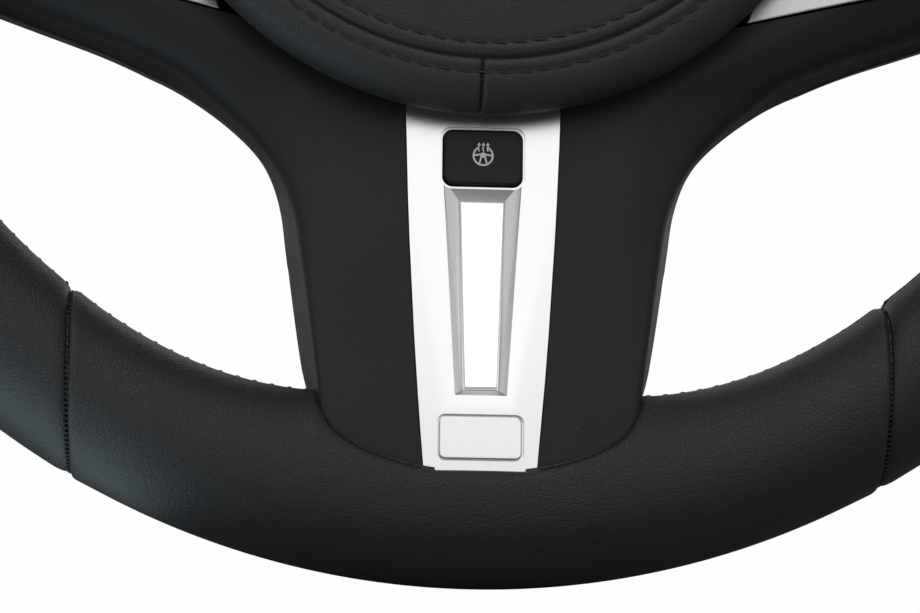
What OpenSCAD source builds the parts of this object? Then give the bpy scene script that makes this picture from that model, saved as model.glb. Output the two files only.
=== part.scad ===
// Car steering wheel with a round airbag, a broad lower spoke and a leather rim.
// Every piece is drawn lying on its back: x to the right, y up the wheel, z towards the driver.
// The module stand() then turns it upright.

/* [Rim] */
// Diameter over the rim
rim_od = 370; // [355:1:390]
// Width of the rim, seen from the driver's seat
rim_w = 35; // [33:0.5:38]
// Thickness of the rim from front to back
rim_t = 31; // [28:0.5:34]
// Height of the rim's middle plane above the back of the hub
rim_z = 50; // [47:0.5:54]
// Thickness of the leather
leather_t = 1.4; // [1:0.1:2]
// Thickness of the heating mat
mat_t = 0.8; // [0.5:0.1:1.2]
// Distance of the leather seams from the middle line
seam_x = 91; // [80:1:110]
// Width of the groove at a leather seam
seam_gap = 0.4; // [0.2:0.1:0.8]
// Width of the armature's ring
ring_w = 13; // [10:0.5:15]
// Thickness of the armature's ring from front to back
ring_t = 11; // [9:0.5:13]

/* [Hub] */
// Radius of the bore for the steering shaft
bore_r = 8.75; // [8:0.05:10]
// Length of the bore for the steering shaft
bore_l = 16; // [12:0.5:18]
// Radius of the hole for the shaft's bolt, in front of the bore
bolt_hole_r = 6.5; // [5:0.1:7.5]
// Outer radius of the hub boss
boss_r = 22; // [18:0.5:24]
// Length of the hub boss
boss_l = 20; // [19:0.5:21]
// Height of the hub plate's back face
hub_z = 12; // [11:0.5:13]
// Thickness of the hub plate
hub_t = 6; // [4:0.5:7]
// Width of an armature spoke
arm_w = 26; // [20:1:30]
// Wall of an armature spoke
rib_t = 5; // [4:0.5:7]
// How far the side spokes lie below the hub's middle
arm_drop = 14; // [8:1:20]

/* [Airbag module] */
// Radius of the airbag cover
bag_r = 84; // [78:0.5:88]
// How far the airbag's middle lies above the hub's middle
bag_up = 5.5; // [0:0.5:8]
// Height of the widest part of the airbag cover
bag_z = 54; // [53:0.5:57]
// Radius of the airbag cover's rounded edge
bag_edge_r = 9; // [7:0.5:11]
// Rise of the airbag cover's crown
bag_crown = 4.7; // [3:0.1:6]
// Wall of the airbag cover
bag_wall = 3; // [2:0.1:3.5]
// How far the cover's skirt steps in below the rounded edge
skirt_in = 2.2; // [2:0.1:3]
// Gap round the skirt
skirt_gap = 1; // [0.7:0.1:1.2]
// Travel of the airbag cover when the horn is pressed
horn_travel = 2; // [1:0.1:2]
// Thickness of the airbag tray's sheet
tray_t = 1.2; // [0.8:0.1:1.6]
// Height of the airbag tray's floor
tray_z = 30; // [29:0.5:31]
// Radius of the inflator, as a share of the tray's radius
inflator_share = 0.45; // [0.4:0.01:0.46]
// Radius of a guide pin
pin_r = 3; // [2.5:0.1:3.2]
// Wire diameter of a horn spring
spring_wire = 1.3; // [1:0.1:1.5]
// Mean radius of a horn spring
spring_r = 5.6; // [5.2:0.1:6]
// Turns of a horn spring
spring_turns = 4; // [3:1:5]

/* [Lower spoke] */
// Height of the spoke cover's face beside the airbag
face_z = 48; // [46.5:0.5:49]
// How far the end of the lower spoke stands in front of the rim's middle plane
face_rise = 11.8; // [10:0.1:13]
// How far the lower spoke reaches into the rim
spoke_sink = 9.5; // [7:0.1:10]
// Half width of the lower spoke at the rim
leg_x = 37.6; // [34:0.1:40]
// How much the half width grows for each millimetre up the spoke
leg_lean = 0.14; // [0.1:0.005:0.2]
// Radius of the sweep from the lower spoke into a side arm
sweep_r = 43; // [38:1:50]
// How far an arm's lower edge stays clear of the airbag cover
arm_clear = 21.2; // [21:0.1:28]
// Rise of the arm's lower edge
arm_rise = 0.33; // [0.28:0.01:0.38]
// Half width between the two soft ridges of the lower spoke
ridge_x = 33.5; // [31:0.1:34.5]
// Rise of the soft ridge along an arm
ridge_rise = 0.56; // [0.5:0.01:0.6]
// Wall of the spoke cover
cover_wall = 3.6; // [3.4:0.1:4]
// Gap between neighbouring covers
cover_gap = 0.5; // [0.3:0.1:0.8]
// Height of the join between the front and the rear cover, beside the airbag
join_z = 30; // [28:0.5:32]

/* [Trim plate] */
// Half width of the plate beside the airbag
plate_x0 = 17.5; // [16:0.1:18.5]
// Half width of the plate halfway down
plate_x1 = 15.6; // [14.5:0.1:16]
// Half width of the plate at its lower end
plate_x2 = 12.4; // [11.5:0.1:13.5]
// Thickness of the plate
plate_t = 3; // [2.6:0.1:3.2]
// How far the plate stands proud of the cover
plate_proud = 0.4; // [0.2:0.1:0.8]
// Depth of the long channel
channel_depth = 2; // [1.2:0.1:2.2]
// Thickness of the bright bar in the channel
inlay_t = 0.8; // [0.5:0.1:1.2]
// Width of the blank pad
pad_w = 18.4; // [16:0.2:20]
// Height of the blank pad
pad_h = 9.5; // [8:0.1:10]
// Depth of the pad's pocket
pad_depth = 1.4; // [1:0.1:1.8]
// Width of the gap line round the pad
pad_gap = 0.5; // [0.3:0.1:0.7]

/* [Heating button] */
// Width of the button
button_w = 17.6; // [15:0.1:18]
// Height of the button
button_h = 12.6; // [11:0.1:13]
// How far the button stands proud of the plate
button_proud = 0.6; // [0.2:0.1:1.5]
// Travel of the button
button_travel = 1; // [0.6:0.1:1.1]
// Gap round the button
button_gap = 0.35; // [0.3:0.05:0.5]

/* [Side arms] */
// Top edge of the side arms above the hub's middle
arm_top_y = 18; // [15:0.5:20]
// Height of a side panel's face at its inner end
panel_z = 46; // [45:0.5:47]
// Slope of a side panel's face
panel_slope = 0.158; // [0.14:0.002:0.17]
// Wall of a side panel
panel_wall = 2.2; // [1.8:0.1:2.6]
// Depth of a side panel
panel_depth = 17.5; // [16:0.5:18]
// Travel of a key
key_travel = 0.8; // [0.5:0.1:1]
// Gap round a key
key_gap = 0.35; // [0.3:0.05:0.5]
// Length of a long key, as a share of the panel's length
key_share = 0.48; // [0.42:0.01:0.5]
// Height of a long key
key_h = 11; // [9:0.5:12]
// Radius of the round key
key_r = 7.5; // [6:0.1:8]

/* [Vibration damper] */
// Outer radius of the damper's mass
damper_r = 42; // [38:0.5:44]
// Thickness of the damper's mass
damper_t = 5; // [3:0.5:5]
// Radius of a rubber bush
bush_r = 4.5; // [3.5:0.1:5]
// Radius of the circle of bushes
bush_circle_r = 34; // [33:0.5:35]

/* [Rear cover] */
// Wall of the rear cover
rear_wall = 2.2; // [1.8:0.1:2.6]
// How far the rear cover's bowl stands outside the airbag's well
bowl_room = 5.2; // [4:0.1:7]
// Radius of the opening round the hub boss
rear_hole_r = 24; // [23:0.5:25]

/* [Hidden] */
$fn = 96;

// Rim
rim_in = rim_od / 2 - rim_w;
ring_mid = rim_od / 2 - rim_w / 2;
ring_back = rim_z - ring_t / 2;
section_points = 40;
pocket_gap = 0.4;
far = rim_od;

// Airbag module
bag_low = bag_r - bag_up;
skirt_r = bag_r - skirt_in;
well_r = skirt_r + skirt_gap;
skirt_z = tray_z + 8;
crown_z = bag_z + bag_edge_r + bag_crown;
crown_sphere_r = (pow(bag_r - bag_edge_r, 2) + pow(bag_crown, 2)) / (2 * bag_crown);
tray_r = skirt_r - bag_wall - 12;
hub_r = tray_r - 0.8;
inflator_r = tray_r * inflator_share;
flange_w = 10;
pin_circle_r = (inflator_r + flange_w + tray_r - tray_t) / 2;
pin_head_r = pin_r + 1.6;
pin_head_z = tray_z + tray_t + 0.3;
hub_front = hub_z + hub_t;
spring_low = hub_front + spring_wire / 2;
spring_high = tray_z - spring_wire / 2 - 0.3;
inflator_back = boss_l + horn_travel + 1;
inflator_front = tray_z + 20;
cushion_back = pin_head_z + 3 + horn_travel + 0.5;

// Lower spoke: its face rises from the airbag to the rim
leg_end = rim_in + spoke_sink;
face_slope = (rim_z + face_rise - face_z) / (leg_end - bag_low);
tilt = atan(face_slope);
leg_len = (leg_end - bag_low) / cos(tilt);
flat_x = 25;
edge_drop = 0.28;
arm_reach = rim_in - 0.4;
leg_tip_r = 78;
tip_cut = 0.6;
arm_edge_x = (bag_r + arm_clear) * cos(45);
arm_edge_y = arm_edge_x - bag_up;
arm_cut_rise = 0.22;
arm_cut_low = -arm_edge_y;
post_r = 3;

// Places down the plate, measured from the airbag's edge
button_d = 9.4;
channel_d0 = 16.4;
inlay_d0 = 19.4;
inlay_d1 = leg_len - 20.3;
channel_d1 = leg_len - 18.4;
pad_d = leg_len - 8.9;
channel_x0 = 8.9;
channel_x1 = 5.8;
inlay_x0 = 4.9;
inlay_x1 = 3.65;
plate_bed = plate_t - plate_proud;
housing_wall = 1.6;
housing_depth = 9;
lip = 0.9;

// Rear cover
rear_z = 14;
rear_round = 3;
bowl_r = well_r + bowl_room;
bowl_z = 1.5;
bowl_front = 34;
screw_r = 1.6;
screw_seat = 2.3;
screw_circle_r = hub_r - 8;
socket_y = 51;
socket_w = 24;
socket_h = 12;

// Horn contacts
contact_r = inflator_r + 9.5;
contact_w = 5;

// Side arms
panel_tilt = atan(panel_slope);
bag_room = 3.5;
panel_in = bag_r - 22;
panel_x0 = bag_r - 18;
panel_x1 = bag_r + bag_room;
panel_l = arm_reach - panel_x1;
key_l = panel_l * key_share;
trim_h = 4.8;
trim_rise = 0.37;
board_t = 1.6;
board_z = -11.8;
key_foot = board_z + board_t + key_travel + 0.3;

// Stands a piece up: what was z now points at the driver
module stand() {
    rotate([90, 0, 0]) children();
}

// Moves a piece to the middle of the airbag module
module at_bag() {
    translate([0, bag_up, 0]) children();
}

// Three copies round a circle
module three(r, turn) {
    for (i = [0:2]) rotate([0, 0, turn + 120 * i]) translate([r, 0, 0]) children();
}

// Frame of the lower spoke's face: x across, y up the face from the airbag's edge, z out of it
module on_leg() {
    translate([0, -bag_low, face_z]) rotate([-tilt, 0, 0]) children();
}

// Frame of a side arm's face: x outwards from its inner end, z out of it
module on_arm(side) {
    mirror([side < 0 ? 1 : 0, 0, 0]) translate([panel_x0, 0, panel_z]) rotate([0, -panel_tilt, 0]) children();
}

// Rectangle with round corners, about the middle
module round_rect(w, h, r) {
    offset_w = w / 2 - r;
    offset_h = h / 2 - r;
    square([w, h - 2 * r], center = true);
    square([w - 2 * r, h], center = true);
    for (x = [-offset_w, offset_w], y = [-offset_h, offset_h]) translate([x, y]) circle(r);
}

// Points of the rim's oval section, drawn in from the leather's face
function oval(inset) = [
    for (i = [0:section_points - 1])
        let (a = 360 * i / section_points)
        [ring_mid + (rim_w / 2 - inset) * cos(a), rim_z + (rim_t / 2 - inset) * sin(a)]
];

// Tube with the rim's section
module rim_tube(inset, wall) {
    rotate_extrude($fn = 180) difference() {
        polygon(oval(inset));
        polygon(oval(inset + wall));
    }
}

// Section of the armature's ring, with its corners cut
module ring_section(extra = 0) {
    w = ring_w / 2 + extra;
    t = ring_t / 2 + extra;
    c = 2.5;
    translate([ring_mid, rim_z]) polygon([
        [w, t - c], [w - c, t], [c - w, t], [-w, t - c],
        [-w, c - t], [c - w, -t], [w - c, -t], [w, c - t]
    ]);
}

// Side view of an armature spoke, from the hub plate to the ring
function spoke_side(extra) = [
    [boss_r - 4, hub_z - extra],
    [hub_r - 2, hub_z - extra],
    [hub_r + 12, hub_z + 6 - extra],
    [rim_in - 2, ring_back - 6 - extra],
    [ring_mid, ring_back + 1 - extra],
    [ring_mid, ring_back + 6 + extra],
    [rim_in - 2, ring_back + 1 + extra],
    [hub_r, hub_front + extra],
    [boss_r - 4, hub_front + extra]
];

// One armature spoke along +x, a channel that is open to the front
module spoke_bar(w, extra = 0) {
    translate([0, w / 2 + extra, 0]) rotate([90, 0, 0]) linear_extrude(w + 2 * extra) polygon(spoke_side(extra));
}

module spoke_channel(w) {
    difference() {
        spoke_bar(w);
        translate([0, 0, rib_t]) intersection() {
            spoke_bar(w - 2 * rib_t);
            translate([hub_r + 8, -w, 0]) cube([rim_in - hub_r - 20, 2 * w, far]);
        }
    }
}

// The three spokes of the armature
module spokes(extra = 0) {
    for (side = [0, 1]) mirror([side, 0, 0]) translate([0, -arm_drop, 0]) spoke_bar(arm_w, extra);
    rotate([0, 0, -90]) spoke_bar(arm_w, extra);
}

module armature() {
    color("#8f9296") stand() difference() {
        union() {
            rotate_extrude($fn = 180) ring_section();
            cylinder(r = boss_r, h = boss_l);
            translate([0, 0, hub_z]) cylinder(r = hub_r, h = hub_t);
            for (side = [0, 1]) mirror([side, 0, 0]) translate([0, -arm_drop, 0]) spoke_channel(arm_w);
            rotate([0, 0, -90]) spoke_channel(arm_w);
        }
        translate([0, 0, -1]) cylinder(r = bore_r, h = bore_l + 1);
        cylinder(r = bolt_hole_r, h = far);
        at_bag() three(pin_circle_r, 90) translate([0, 0, hub_z - 1]) cylinder(r = pin_r, h = hub_t + 2);
        three(screw_circle_r, 30) translate([0, 0, hub_z - 1]) cylinder(r = screw_r, h = hub_t + 2);
        // Windows that lighten the hub plate
        for (a = [20, 160]) rotate([0, 0, a]) translate([(boss_r + hub_r) / 2 - 6, 0, hub_z - 1])
            cylinder(r = 7, h = hub_t + 2);
    }
}

// Space in the rim that takes the end of the lower spoke's covers
module spoke_pocket(extra) {
    linear_extrude(far) polygon(concat(
        [for (y = leg_rows()) [leg_half(y) + extra, y - (y < -leg_end + 1 ? extra : 0)]],
        [for (y = reversed(leg_rows())) [-leg_half(y) - extra, y - (y < -leg_end + 1 ? extra : 0)]]
    ));
}

// What the rim's layers leave free for the armature and the lower spoke
module rim_cuts() {
    spoke_pocket(pocket_gap);
    spokes(0.3);
}

module rim_foam() {
    color("#3a3a3c") stand() difference() {
        rotate_extrude($fn = 180) difference() {
            polygon(oval(leather_t + mat_t));
            ring_section();
        }
        rim_cuts();
    }
}

module heating_mat() {
    color("#b8a27a") stand() difference() {
        rim_tube(leather_t, mat_t);
        rim_cuts();
    }
}

// Slice of the leather between two seams: up = 1 for the top, -1 for the bottom
module leather_slice(up) {
    intersection() {
        rim_tube(0, leather_t);
        translate([-seam_x + seam_gap / 2, up > 0 ? 0 : -far, 0]) cube([2 * seam_x - seam_gap, far, far]);
    }
}

// Leather of one side, beyond the seams
module leather_side() {
    difference() {
        intersection() {
            rim_tube(0, leather_t);
            translate([seam_x + seam_gap / 2, -far, 0]) cube([far, 2 * far, far]);
        }
        spokes(0.3);
    }
}

module leather_bottom() {
    color("#1a1b1d") stand() difference() {
        leather_slice(-1);
        rim_cuts();
    }
}

module leather_top() {
    color("#1a1b1d") stand() leather_slice(1);
}

module leather_right() {
    color("#1a1b1d") stand() leather_side();
}

module leather_left() {
    color("#1a1b1d") stand() mirror([1, 0, 0]) leather_side();
}

// Outline of the spokes: a leaning line, a round sweep and a rising line
function reversed(list) = [for (i = [len(list) - 1:-1:0]) list[i]];

function sweep_x(lean_x, lean, px, py, rise, r) =
    (lean_x + lean * (-py - rise * px - r * sqrt(1 + rise * rise) + leg_end - 10) + r * sqrt(1 + lean * lean))
    / (1 - lean * rise);

function sweep_y(cx, px, py, rise, r) = -py + rise * (cx - px) - r * sqrt(1 + rise * rise);

function edge_at(y, lean_x, lean, px, py, rise, r) =
    let (
        cx = sweep_x(lean_x, lean, px, py, rise, r),
        cy = sweep_y(cx, px, py, rise, r),
        low = cy + r * lean / sqrt(1 + lean * lean),
        high = cy + r / sqrt(1 + rise * rise)
    )
    y < low ? lean_x + lean * (y + leg_end - 10)
    : y < high ? cx - sqrt(r * r - pow(y - cy, 2))
    : px + (y + py) / rise;

// Half width at height y: the edge, rounded off at the tip and stopped by the rim
function leg_half(y) =
    let (
        edge = edge_at(y, leg_x, leg_lean, arm_edge_x, arm_edge_y, arm_rise, sweep_r),
        tip = sqrt(max(1, pow(leg_tip_r, 2) - pow(y + leg_end - leg_tip_r, 2)))
    )
    y < -leg_end + leg_tip_r * 0.6
    ? pow(pow(edge, -8) + pow(tip, -8), -1 / 8)
    : min(edge, sqrt(pow(arm_reach, 2) - y * y));

function ridge_half(y, half) =
    min(half * 0.86, edge_at(y, ridge_x, 0, arm_edge_x - 8, arm_edge_y - 10, ridge_rise, sweep_r * 0.6));

// Heights of the cross sections: dense at the rounded tip and in the sweep
function leg_rows(inset = 0) = [
    tip_cut + inset - leg_end,
    for (up = [1.6, 3.2, 6, 10, 16, 26]) if (up > tip_cut + inset + 0.8) up - leg_end
];

function arm_rows(inset = 0) = [
    for (i = [0:6]) i * 6 - arm_edge_y - 32,
    for (i = [1:4]) i * 5.5 - arm_edge_y + 4,
    arm_edge_y * -0.55, 0, arm_top_y - inset
];

// The spokes rise with their distance from the hub, and are flat across the plate
function reach(x, y) = sqrt(y * y + 1.3 * pow(max(0, abs(x) - flat_x), 2));
function dish(x, y, z0) = z0 + face_slope * (reach(x, y) - bag_low);

// Right half of the front cover's cross section at height y
function front_section(y, inset) =
    let (
        half = leg_half(y) - inset,
        ridge = ridge_half(y, leg_half(y)) - inset * 0.3,
        drop = edge_drop * (half - ridge),
        flat = min(flat_x, 0.6 * half),
        low = inset > 0 ? join_z - 6 : join_z,
        z = face_z - inset
    )
    [
        [0, dish(0, y, low)], [flat, dish(flat, y, low)], [half, dish(half, y, low)],
        [half, dish(half, y, z) - 1.4 * drop],
        [ridge + 0.9 * (half - ridge), dish(half, y, z) - drop],
        [ridge + 0.5 * (half - ridge), dish(half, y, z) - 0.4 * drop],
        [ridge, dish(ridge, y, z)], [0, dish(0, y, z)]
    ];

// Right half of the rear cover's cross section at height y
function rear_section(y, inset) =
    let (
        half = leg_half(y) - inset,
        high = inset > 0 ? join_z + 6 : join_z - cover_gap,
        z = rear_z + inset
    )
    [
        [0, dish(0, y, high)], [half, dish(half, y, high)],
        [half, dish(half, y, z) + rear_round], [half - rear_round, dish(half, y, z) + 0.3 * rear_round],
        [half * 0.7, dish(half * 0.7, y, z)], [0, dish(0, y, z)]
    ];

// Ring of points of a half spoke's cross section at height y
function ring_at(y, inset, front) =
    [for (p = front ? front_section(y, inset) : rear_section(y, inset)) [p[0], y, p[1]]];

// Solid of the three spokes, stretch by stretch along their heights
module spoke_solid(inset, front) {
    rows = concat(leg_rows(inset), arm_rows(inset));
    for (side = [0, 1]) mirror([side, 0, 0])
        for (k = [1:len(rows) - 1])
            hull() loft([ring_at(rows[k - 1], inset, front), ring_at(rows[k], inset, front)]);
}

// Everything above the arms' silver trims
module above_arms() {
    translate([0, 0, -far]) linear_extrude(2 * far) polygon([
        [0, arm_cut_low], [far, arm_cut_low + arm_cut_rise * far], [far, far],
        [-far, far], [-far, arm_cut_low + arm_cut_rise * far]
    ]);
}

// Well that the airbag module sits in
module bag_well() {
    at_bag() translate([0, 0, -1]) cylinder(r = well_r, h = far);
}

module spoke_cover() {
    color("#1d1e20") stand() difference() {
        union() {
            difference() {
                spoke_solid(0, true);
                spoke_solid(cover_wall, true);
                spokes(cover_gap);
            }
            // Posts that stand in the channel of the armature's lower spoke
            difference() {
                for (share = [0.47, 0.64]) let (d = bag_low + share * (leg_end - bag_low))
                    translate([0, -d, hub_front])
                    cylinder(r = post_r, h = dish(0, d, face_z) - hub_front - plate_t, $fn = 32);
                rotate([0, 0, -90]) translate([0, arm_w / 2, 0]) rotate([90, 0, 0]) linear_extrude(arm_w)
                    polygon([[0, 0], [far, 0], [far, channel_floor(far)], [0, channel_floor(0)]]);
            }
        }
        bag_well();
        above_arms();
        on_leg() translate([0, 0, -plate_bed]) linear_extrude(far) plate_outline(0.2, 3);
        on_leg() translate([0, -button_d, -cover_wall * 2])
            linear_extrude(far) round_rect(button_w + 2 * button_gap, button_h + 2 * button_gap, 2.4);
    }
}

// Height of the floor of the armature spoke's channel, at a distance from the hub's middle
function channel_floor(d) =
    let (a = spoke_side(0)[2], b = spoke_side(0)[3])
    a[1] + (b[1] - a[1]) * (d - a[0]) / (b[0] - a[0]) + rib_t;

// Half width of the plate at a distance down from the airbag's edge
function plate_half(d) =
    let (s = d / leg_len)
    plate_x0 * (1 - s) * (1 - 2 * s) + 4 * plate_x1 * s * (1 - s) + plate_x2 * s * (2 * s - 1);

module plate_outline(extra, longer = 0) {
    steps = [for (i = [0:8]) -3 + (leg_len + 2.4 + longer) * i / 8];
    polygon(concat(
        [for (d = steps) [plate_half(d) + extra, -d]],
        [for (d = reversed(steps)) [-plate_half(d) - extra, -d]]
    ));
}

// Four-sided outline between two places down the plate
function taper(d0, x0, d1, x1, extra = 0) = [
    [-x0 - extra, extra - d0], [x0 + extra, extra - d0], [x1 + extra, -d1 - extra], [-x1 - extra, -d1 - extra]
];

module trim_plate() {
    color("#d9dadc") stand() difference() {
        on_leg() difference() {
            translate([0, 0, -plate_bed]) linear_extrude(plate_t) plate_outline(0);
            // Channel with sloping sides
            hull() {
                translate([0, 0, plate_proud]) linear_extrude(0.1)
                    polygon(taper(channel_d0 - 2, channel_x0, channel_d1, channel_x1));
                translate([0, 0, plate_proud - channel_depth]) linear_extrude(0.01)
                    polygon(taper(inlay_d0, inlay_x0, inlay_d1, inlay_x1, 0.3));
            }
            // Opening for the button, with a bevelled lip
            translate([0, -button_d, -far]) linear_extrude(2 * far)
                round_rect(button_w + 2 * button_gap, button_h + 2 * button_gap, 2.4);
            translate([0, -button_d, plate_proud - lip]) linear_extrude(far)
                round_rect(button_w + 2 * button_gap + lip, button_h + 2 * button_gap + lip, 2.4);
            translate([0, -pad_d, plate_proud - pad_depth]) linear_extrude(far)
                round_rect(pad_w + 2 * pad_gap, pad_h + 2 * pad_gap, 1.4 + pad_gap);
        }
        bag_well();
        // Lower end, rounded like the spoke
        translate([0, leg_tip_r - leg_end, 0]) difference() {
            translate([-far, -2 * far, 0]) cube([2 * far, 2 * far, far]);
            cylinder(r = leg_tip_r - tip_cut, h = far);
        }
    }
}

module trim_inlay() {
    color("#f1f2f3") stand() on_leg() translate([0, 0, plate_proud - channel_depth]) linear_extrude(inlay_t)
        polygon(taper(inlay_d0, inlay_x0, inlay_d1, inlay_x1));
}

module blank_pad() {
    color("#e4e5e6") stand() on_leg() translate([0, -pad_d, plate_proud - pad_depth])
        linear_extrude(pad_depth) round_rect(pad_w, pad_h, 1.4);
}

module heating_button() {
    cap = 2.4;
    skirt = 1.4;
    top = plate_proud + button_proud;
    color("#151617") stand() on_leg() translate([0, -button_d, 0]) {
        difference() {
            translate([0, 0, -cover_wall - 1]) linear_extrude(top + cover_wall + 1) round_rect(button_w, button_h, 2.2);
            translate([0, 0, -far - 1]) linear_extrude(far + 1 + top - cap)
                round_rect(button_w - 2 * skirt, button_h - 2 * skirt, 1);
        }
        translate([0, 0, -cover_wall - 4]) cylinder(r = 2, h = cover_wall + 4 + top - cap / 2);
    }
}

module switch_housing() {
    w = button_w + 2 * button_gap;
    h = button_h + 2 * button_gap;
    floor_z = -cover_wall - 4 - button_travel - 0.3 - 1;
    color("#2a2b2d") stand() on_leg() translate([0, -button_d, 0]) {
        difference() {
            translate([0, 0, -cover_wall - housing_depth]) linear_extrude(housing_depth)
                round_rect(w + 2 * housing_wall, h + 2 * housing_wall, 3);
            translate([0, 0, floor_z - 0.6]) linear_extrude(far) round_rect(w, h, 2);
        }
        translate([0, 0, floor_z - 1]) cylinder(r = 3.2, h = 2);
    }
}

// Profile of the airbag cover's outside, from the skirt to the crown
function bag_profile(inset) = concat(
    [[skirt_r - inset, bag_z - 3], [bag_r - inset, bag_z - 0.5]],
    [for (i = [1:7])
        let (a = 90 * i / 8)
        [bag_r - bag_edge_r + (bag_edge_r - inset) * cos(a), bag_z + (bag_edge_r - inset) * sin(a)]],
    [for (i = [0:8])
        let (r = (bag_r - bag_edge_r) * (1 - i / 8))
        [r, crown_z - inset - (crown_sphere_r - sqrt(pow(crown_sphere_r, 2) - r * r))]]
);

module airbag_cover() {
    color("#17181a") stand() at_bag() rotate_extrude($fn = 180) difference() {
        polygon(concat([[0, skirt_z], [skirt_r, skirt_z]], bag_profile(0)));
        polygon(concat([[0, skirt_z - 1], [skirt_r - bag_wall, skirt_z - 1]], bag_profile(bag_wall)));
    }
}

module airbag_tray() {
    flange_z = skirt_z + 1;
    color("#9a9da1") stand() at_bag() difference() {
        rotate_extrude($fn = 120) polygon([
            [inflator_r + 0.3, tray_z], [tray_r, tray_z], [tray_r, flange_z],
            [skirt_r - bag_wall - 0.2, flange_z], [skirt_r - bag_wall - 0.2, flange_z + tray_t],
            [tray_r - tray_t, flange_z + tray_t], [tray_r - tray_t, tray_z + tray_t],
            [inflator_r + 0.3, tray_z + tray_t]
        ]);
        three(pin_circle_r, 90) translate([0, 0, tray_z - 1]) cylinder(r = pin_r + 0.4, h = tray_t + 2);
    }
}

module airbag_cushion() {
    inner = inflator_r + flange_w + 0.5;
    outer = tray_r - tray_t - 0.5;
    front = bag_z + bag_edge_r - bag_wall - 1;
    color("#d8d4c8") stand() at_bag() rotate_extrude($fn = 96) polygon([
        [inner, cushion_back], [outer, cushion_back], [outer, front - 5], [outer - 5, front],
        [0, front], [0, inflator_front + 0.3], [inner, inflator_front + 0.3]
    ]);
}

module inflator() {
    color("#a9abad") stand() at_bag() rotate_extrude($fn = 120) polygon([
        [0, inflator_back], [inflator_r - 3, inflator_back], [inflator_r, inflator_back + 3],
        [inflator_r, tray_z + tray_t], [inflator_r + flange_w, tray_z + tray_t],
        [inflator_r + flange_w, tray_z + tray_t + 1.8],
        [inflator_r, tray_z + tray_t + 1.8], [inflator_r, inflator_front - 3], [inflator_r - 3, inflator_front],
        [0, inflator_front]
    ]);
}

module guide_pins() {
    color("#b9bbbd") stand() at_bag() three(pin_circle_r, 90) {
        translate([0, 0, hub_z]) cylinder(r = pin_r, h = pin_head_z - hub_z + 1);
        translate([0, 0, pin_head_z]) cylinder(r = pin_head_r, h = 2.4);
    }
}

// Skin over a row of rings, closed at both ends
module loft(rings) {
    n = len(rings[0]);
    last = len(rings) - 1;
    polyhedron(
        points = [for (ring = rings) each ring],
        faces = concat(
            [[for (i = [0:n - 1]) i]],
            [for (k = [0:last - 1], i = [0:n - 1])
                each let (a = k * n + i, b = k * n + (i + 1) % n) [[a, a + n, b], [b, a + n, b + n]]],
            [[for (i = [n - 1:-1:0]) last * n + i]]
        )
    );
}

// One horn spring: a wire swept round a helix
module coil() {
    steps = 12 * spring_turns;
    sides = 6;
    rings = [
        for (k = [0:steps])
            let (turn = 30 * k, z = spring_low + (spring_high - spring_low) * k / steps)
            [for (i = [0:sides - 1])
                let (
                    a = -360 * i / sides,
                    r = spring_r + spring_wire / 2 * cos(a)
                )
                [r * cos(turn), r * sin(turn), z + spring_wire / 2 * sin(a)]]
    ];
    loft(rings);
}

module horn_springs() {
    color("#c4c6c8") stand() at_bag() three(pin_circle_r, 90) coil();
}

module horn_contacts() {
    top = tray_z - horn_travel - 0.4;
    color("#c9a24a") stand() at_bag() {
        translate([0, 0, hub_front]) difference() {
            cylinder(r = contact_r + contact_w / 2, h = 1.2);
            translate([0, 0, -1]) cylinder(r = contact_r - contact_w / 2, h = 4);
        }
        three(contact_r, 30) translate([0, 0, hub_front]) cylinder(r = 2.2, h = top - hub_front);
    }
}

// Silver trim along the top edge of an arm's cover
module arm_trim(side) {
    y0 = arm_cut_low + cover_gap;
    color("#d9dadc") stand() difference() {
        intersection() {
            on_arm(side) translate([-20, -far / 2, -3]) cube([far, far, 3.4]);
            translate([0, 0, -far]) linear_extrude(2 * far) mirror([side < 0 ? 1 : 0, 0, 0]) polygon([
                [panel_x0 - 6, y0 + arm_cut_rise * (panel_x0 - 6)],
                [far, y0 + arm_cut_rise * far],
                [far, trim_top(far)],
                [panel_x0 - 4, trim_top(panel_x0 - 4)]
            ]);
            cylinder(r = arm_reach, h = far);
        }
        at_bag() translate([0, 0, -1]) cylinder(r = well_r + cover_gap, h = far);
    }
}

// Upper edge of the silver trim
function trim_top(x) = arm_cut_low + arm_cut_rise * panel_in + cover_gap + trim_h + trim_rise * (x - panel_in);

module left_trim() arm_trim(-1);
module right_trim() arm_trim(1);

// Outline of a side panel on the right, seen from the driver's seat
module panel_outline(inset = 0) {
    intersection() {
        polygon([
            [panel_in + inset, trim_top(panel_in) + cover_gap + inset * 1.2],
            [far, trim_top(far) + cover_gap + inset * 1.2],
            [far, arm_top_y - inset], [panel_in + inset, arm_top_y - inset]
        ]);
        circle(r = arm_reach - inset);
        difference() {
            square(2 * far, center = true);
            translate([0, bag_up]) circle(r = bag_r + bag_room + inset);
        }
    }
}

// Place along an arm's frame, as a share of the panel's length
function along(share) = (panel_x1 + share * panel_l - panel_x0) / cos(panel_tilt);

// Outline of a key in the arm's frame
module key_outline(kind, extra) {
    if (kind == "upper") translate([along(0.33), 4]) round_rect(key_l + 2 * extra, key_h + 2 * extra, 3);
    if (kind == "lower") translate([along(0.35), -14]) round_rect(key_l - 4 + 2 * extra, key_h + 2 * extra, 3);
    if (kind == "round") translate([along(0.79), -4]) circle(key_r + extra);
}

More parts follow.
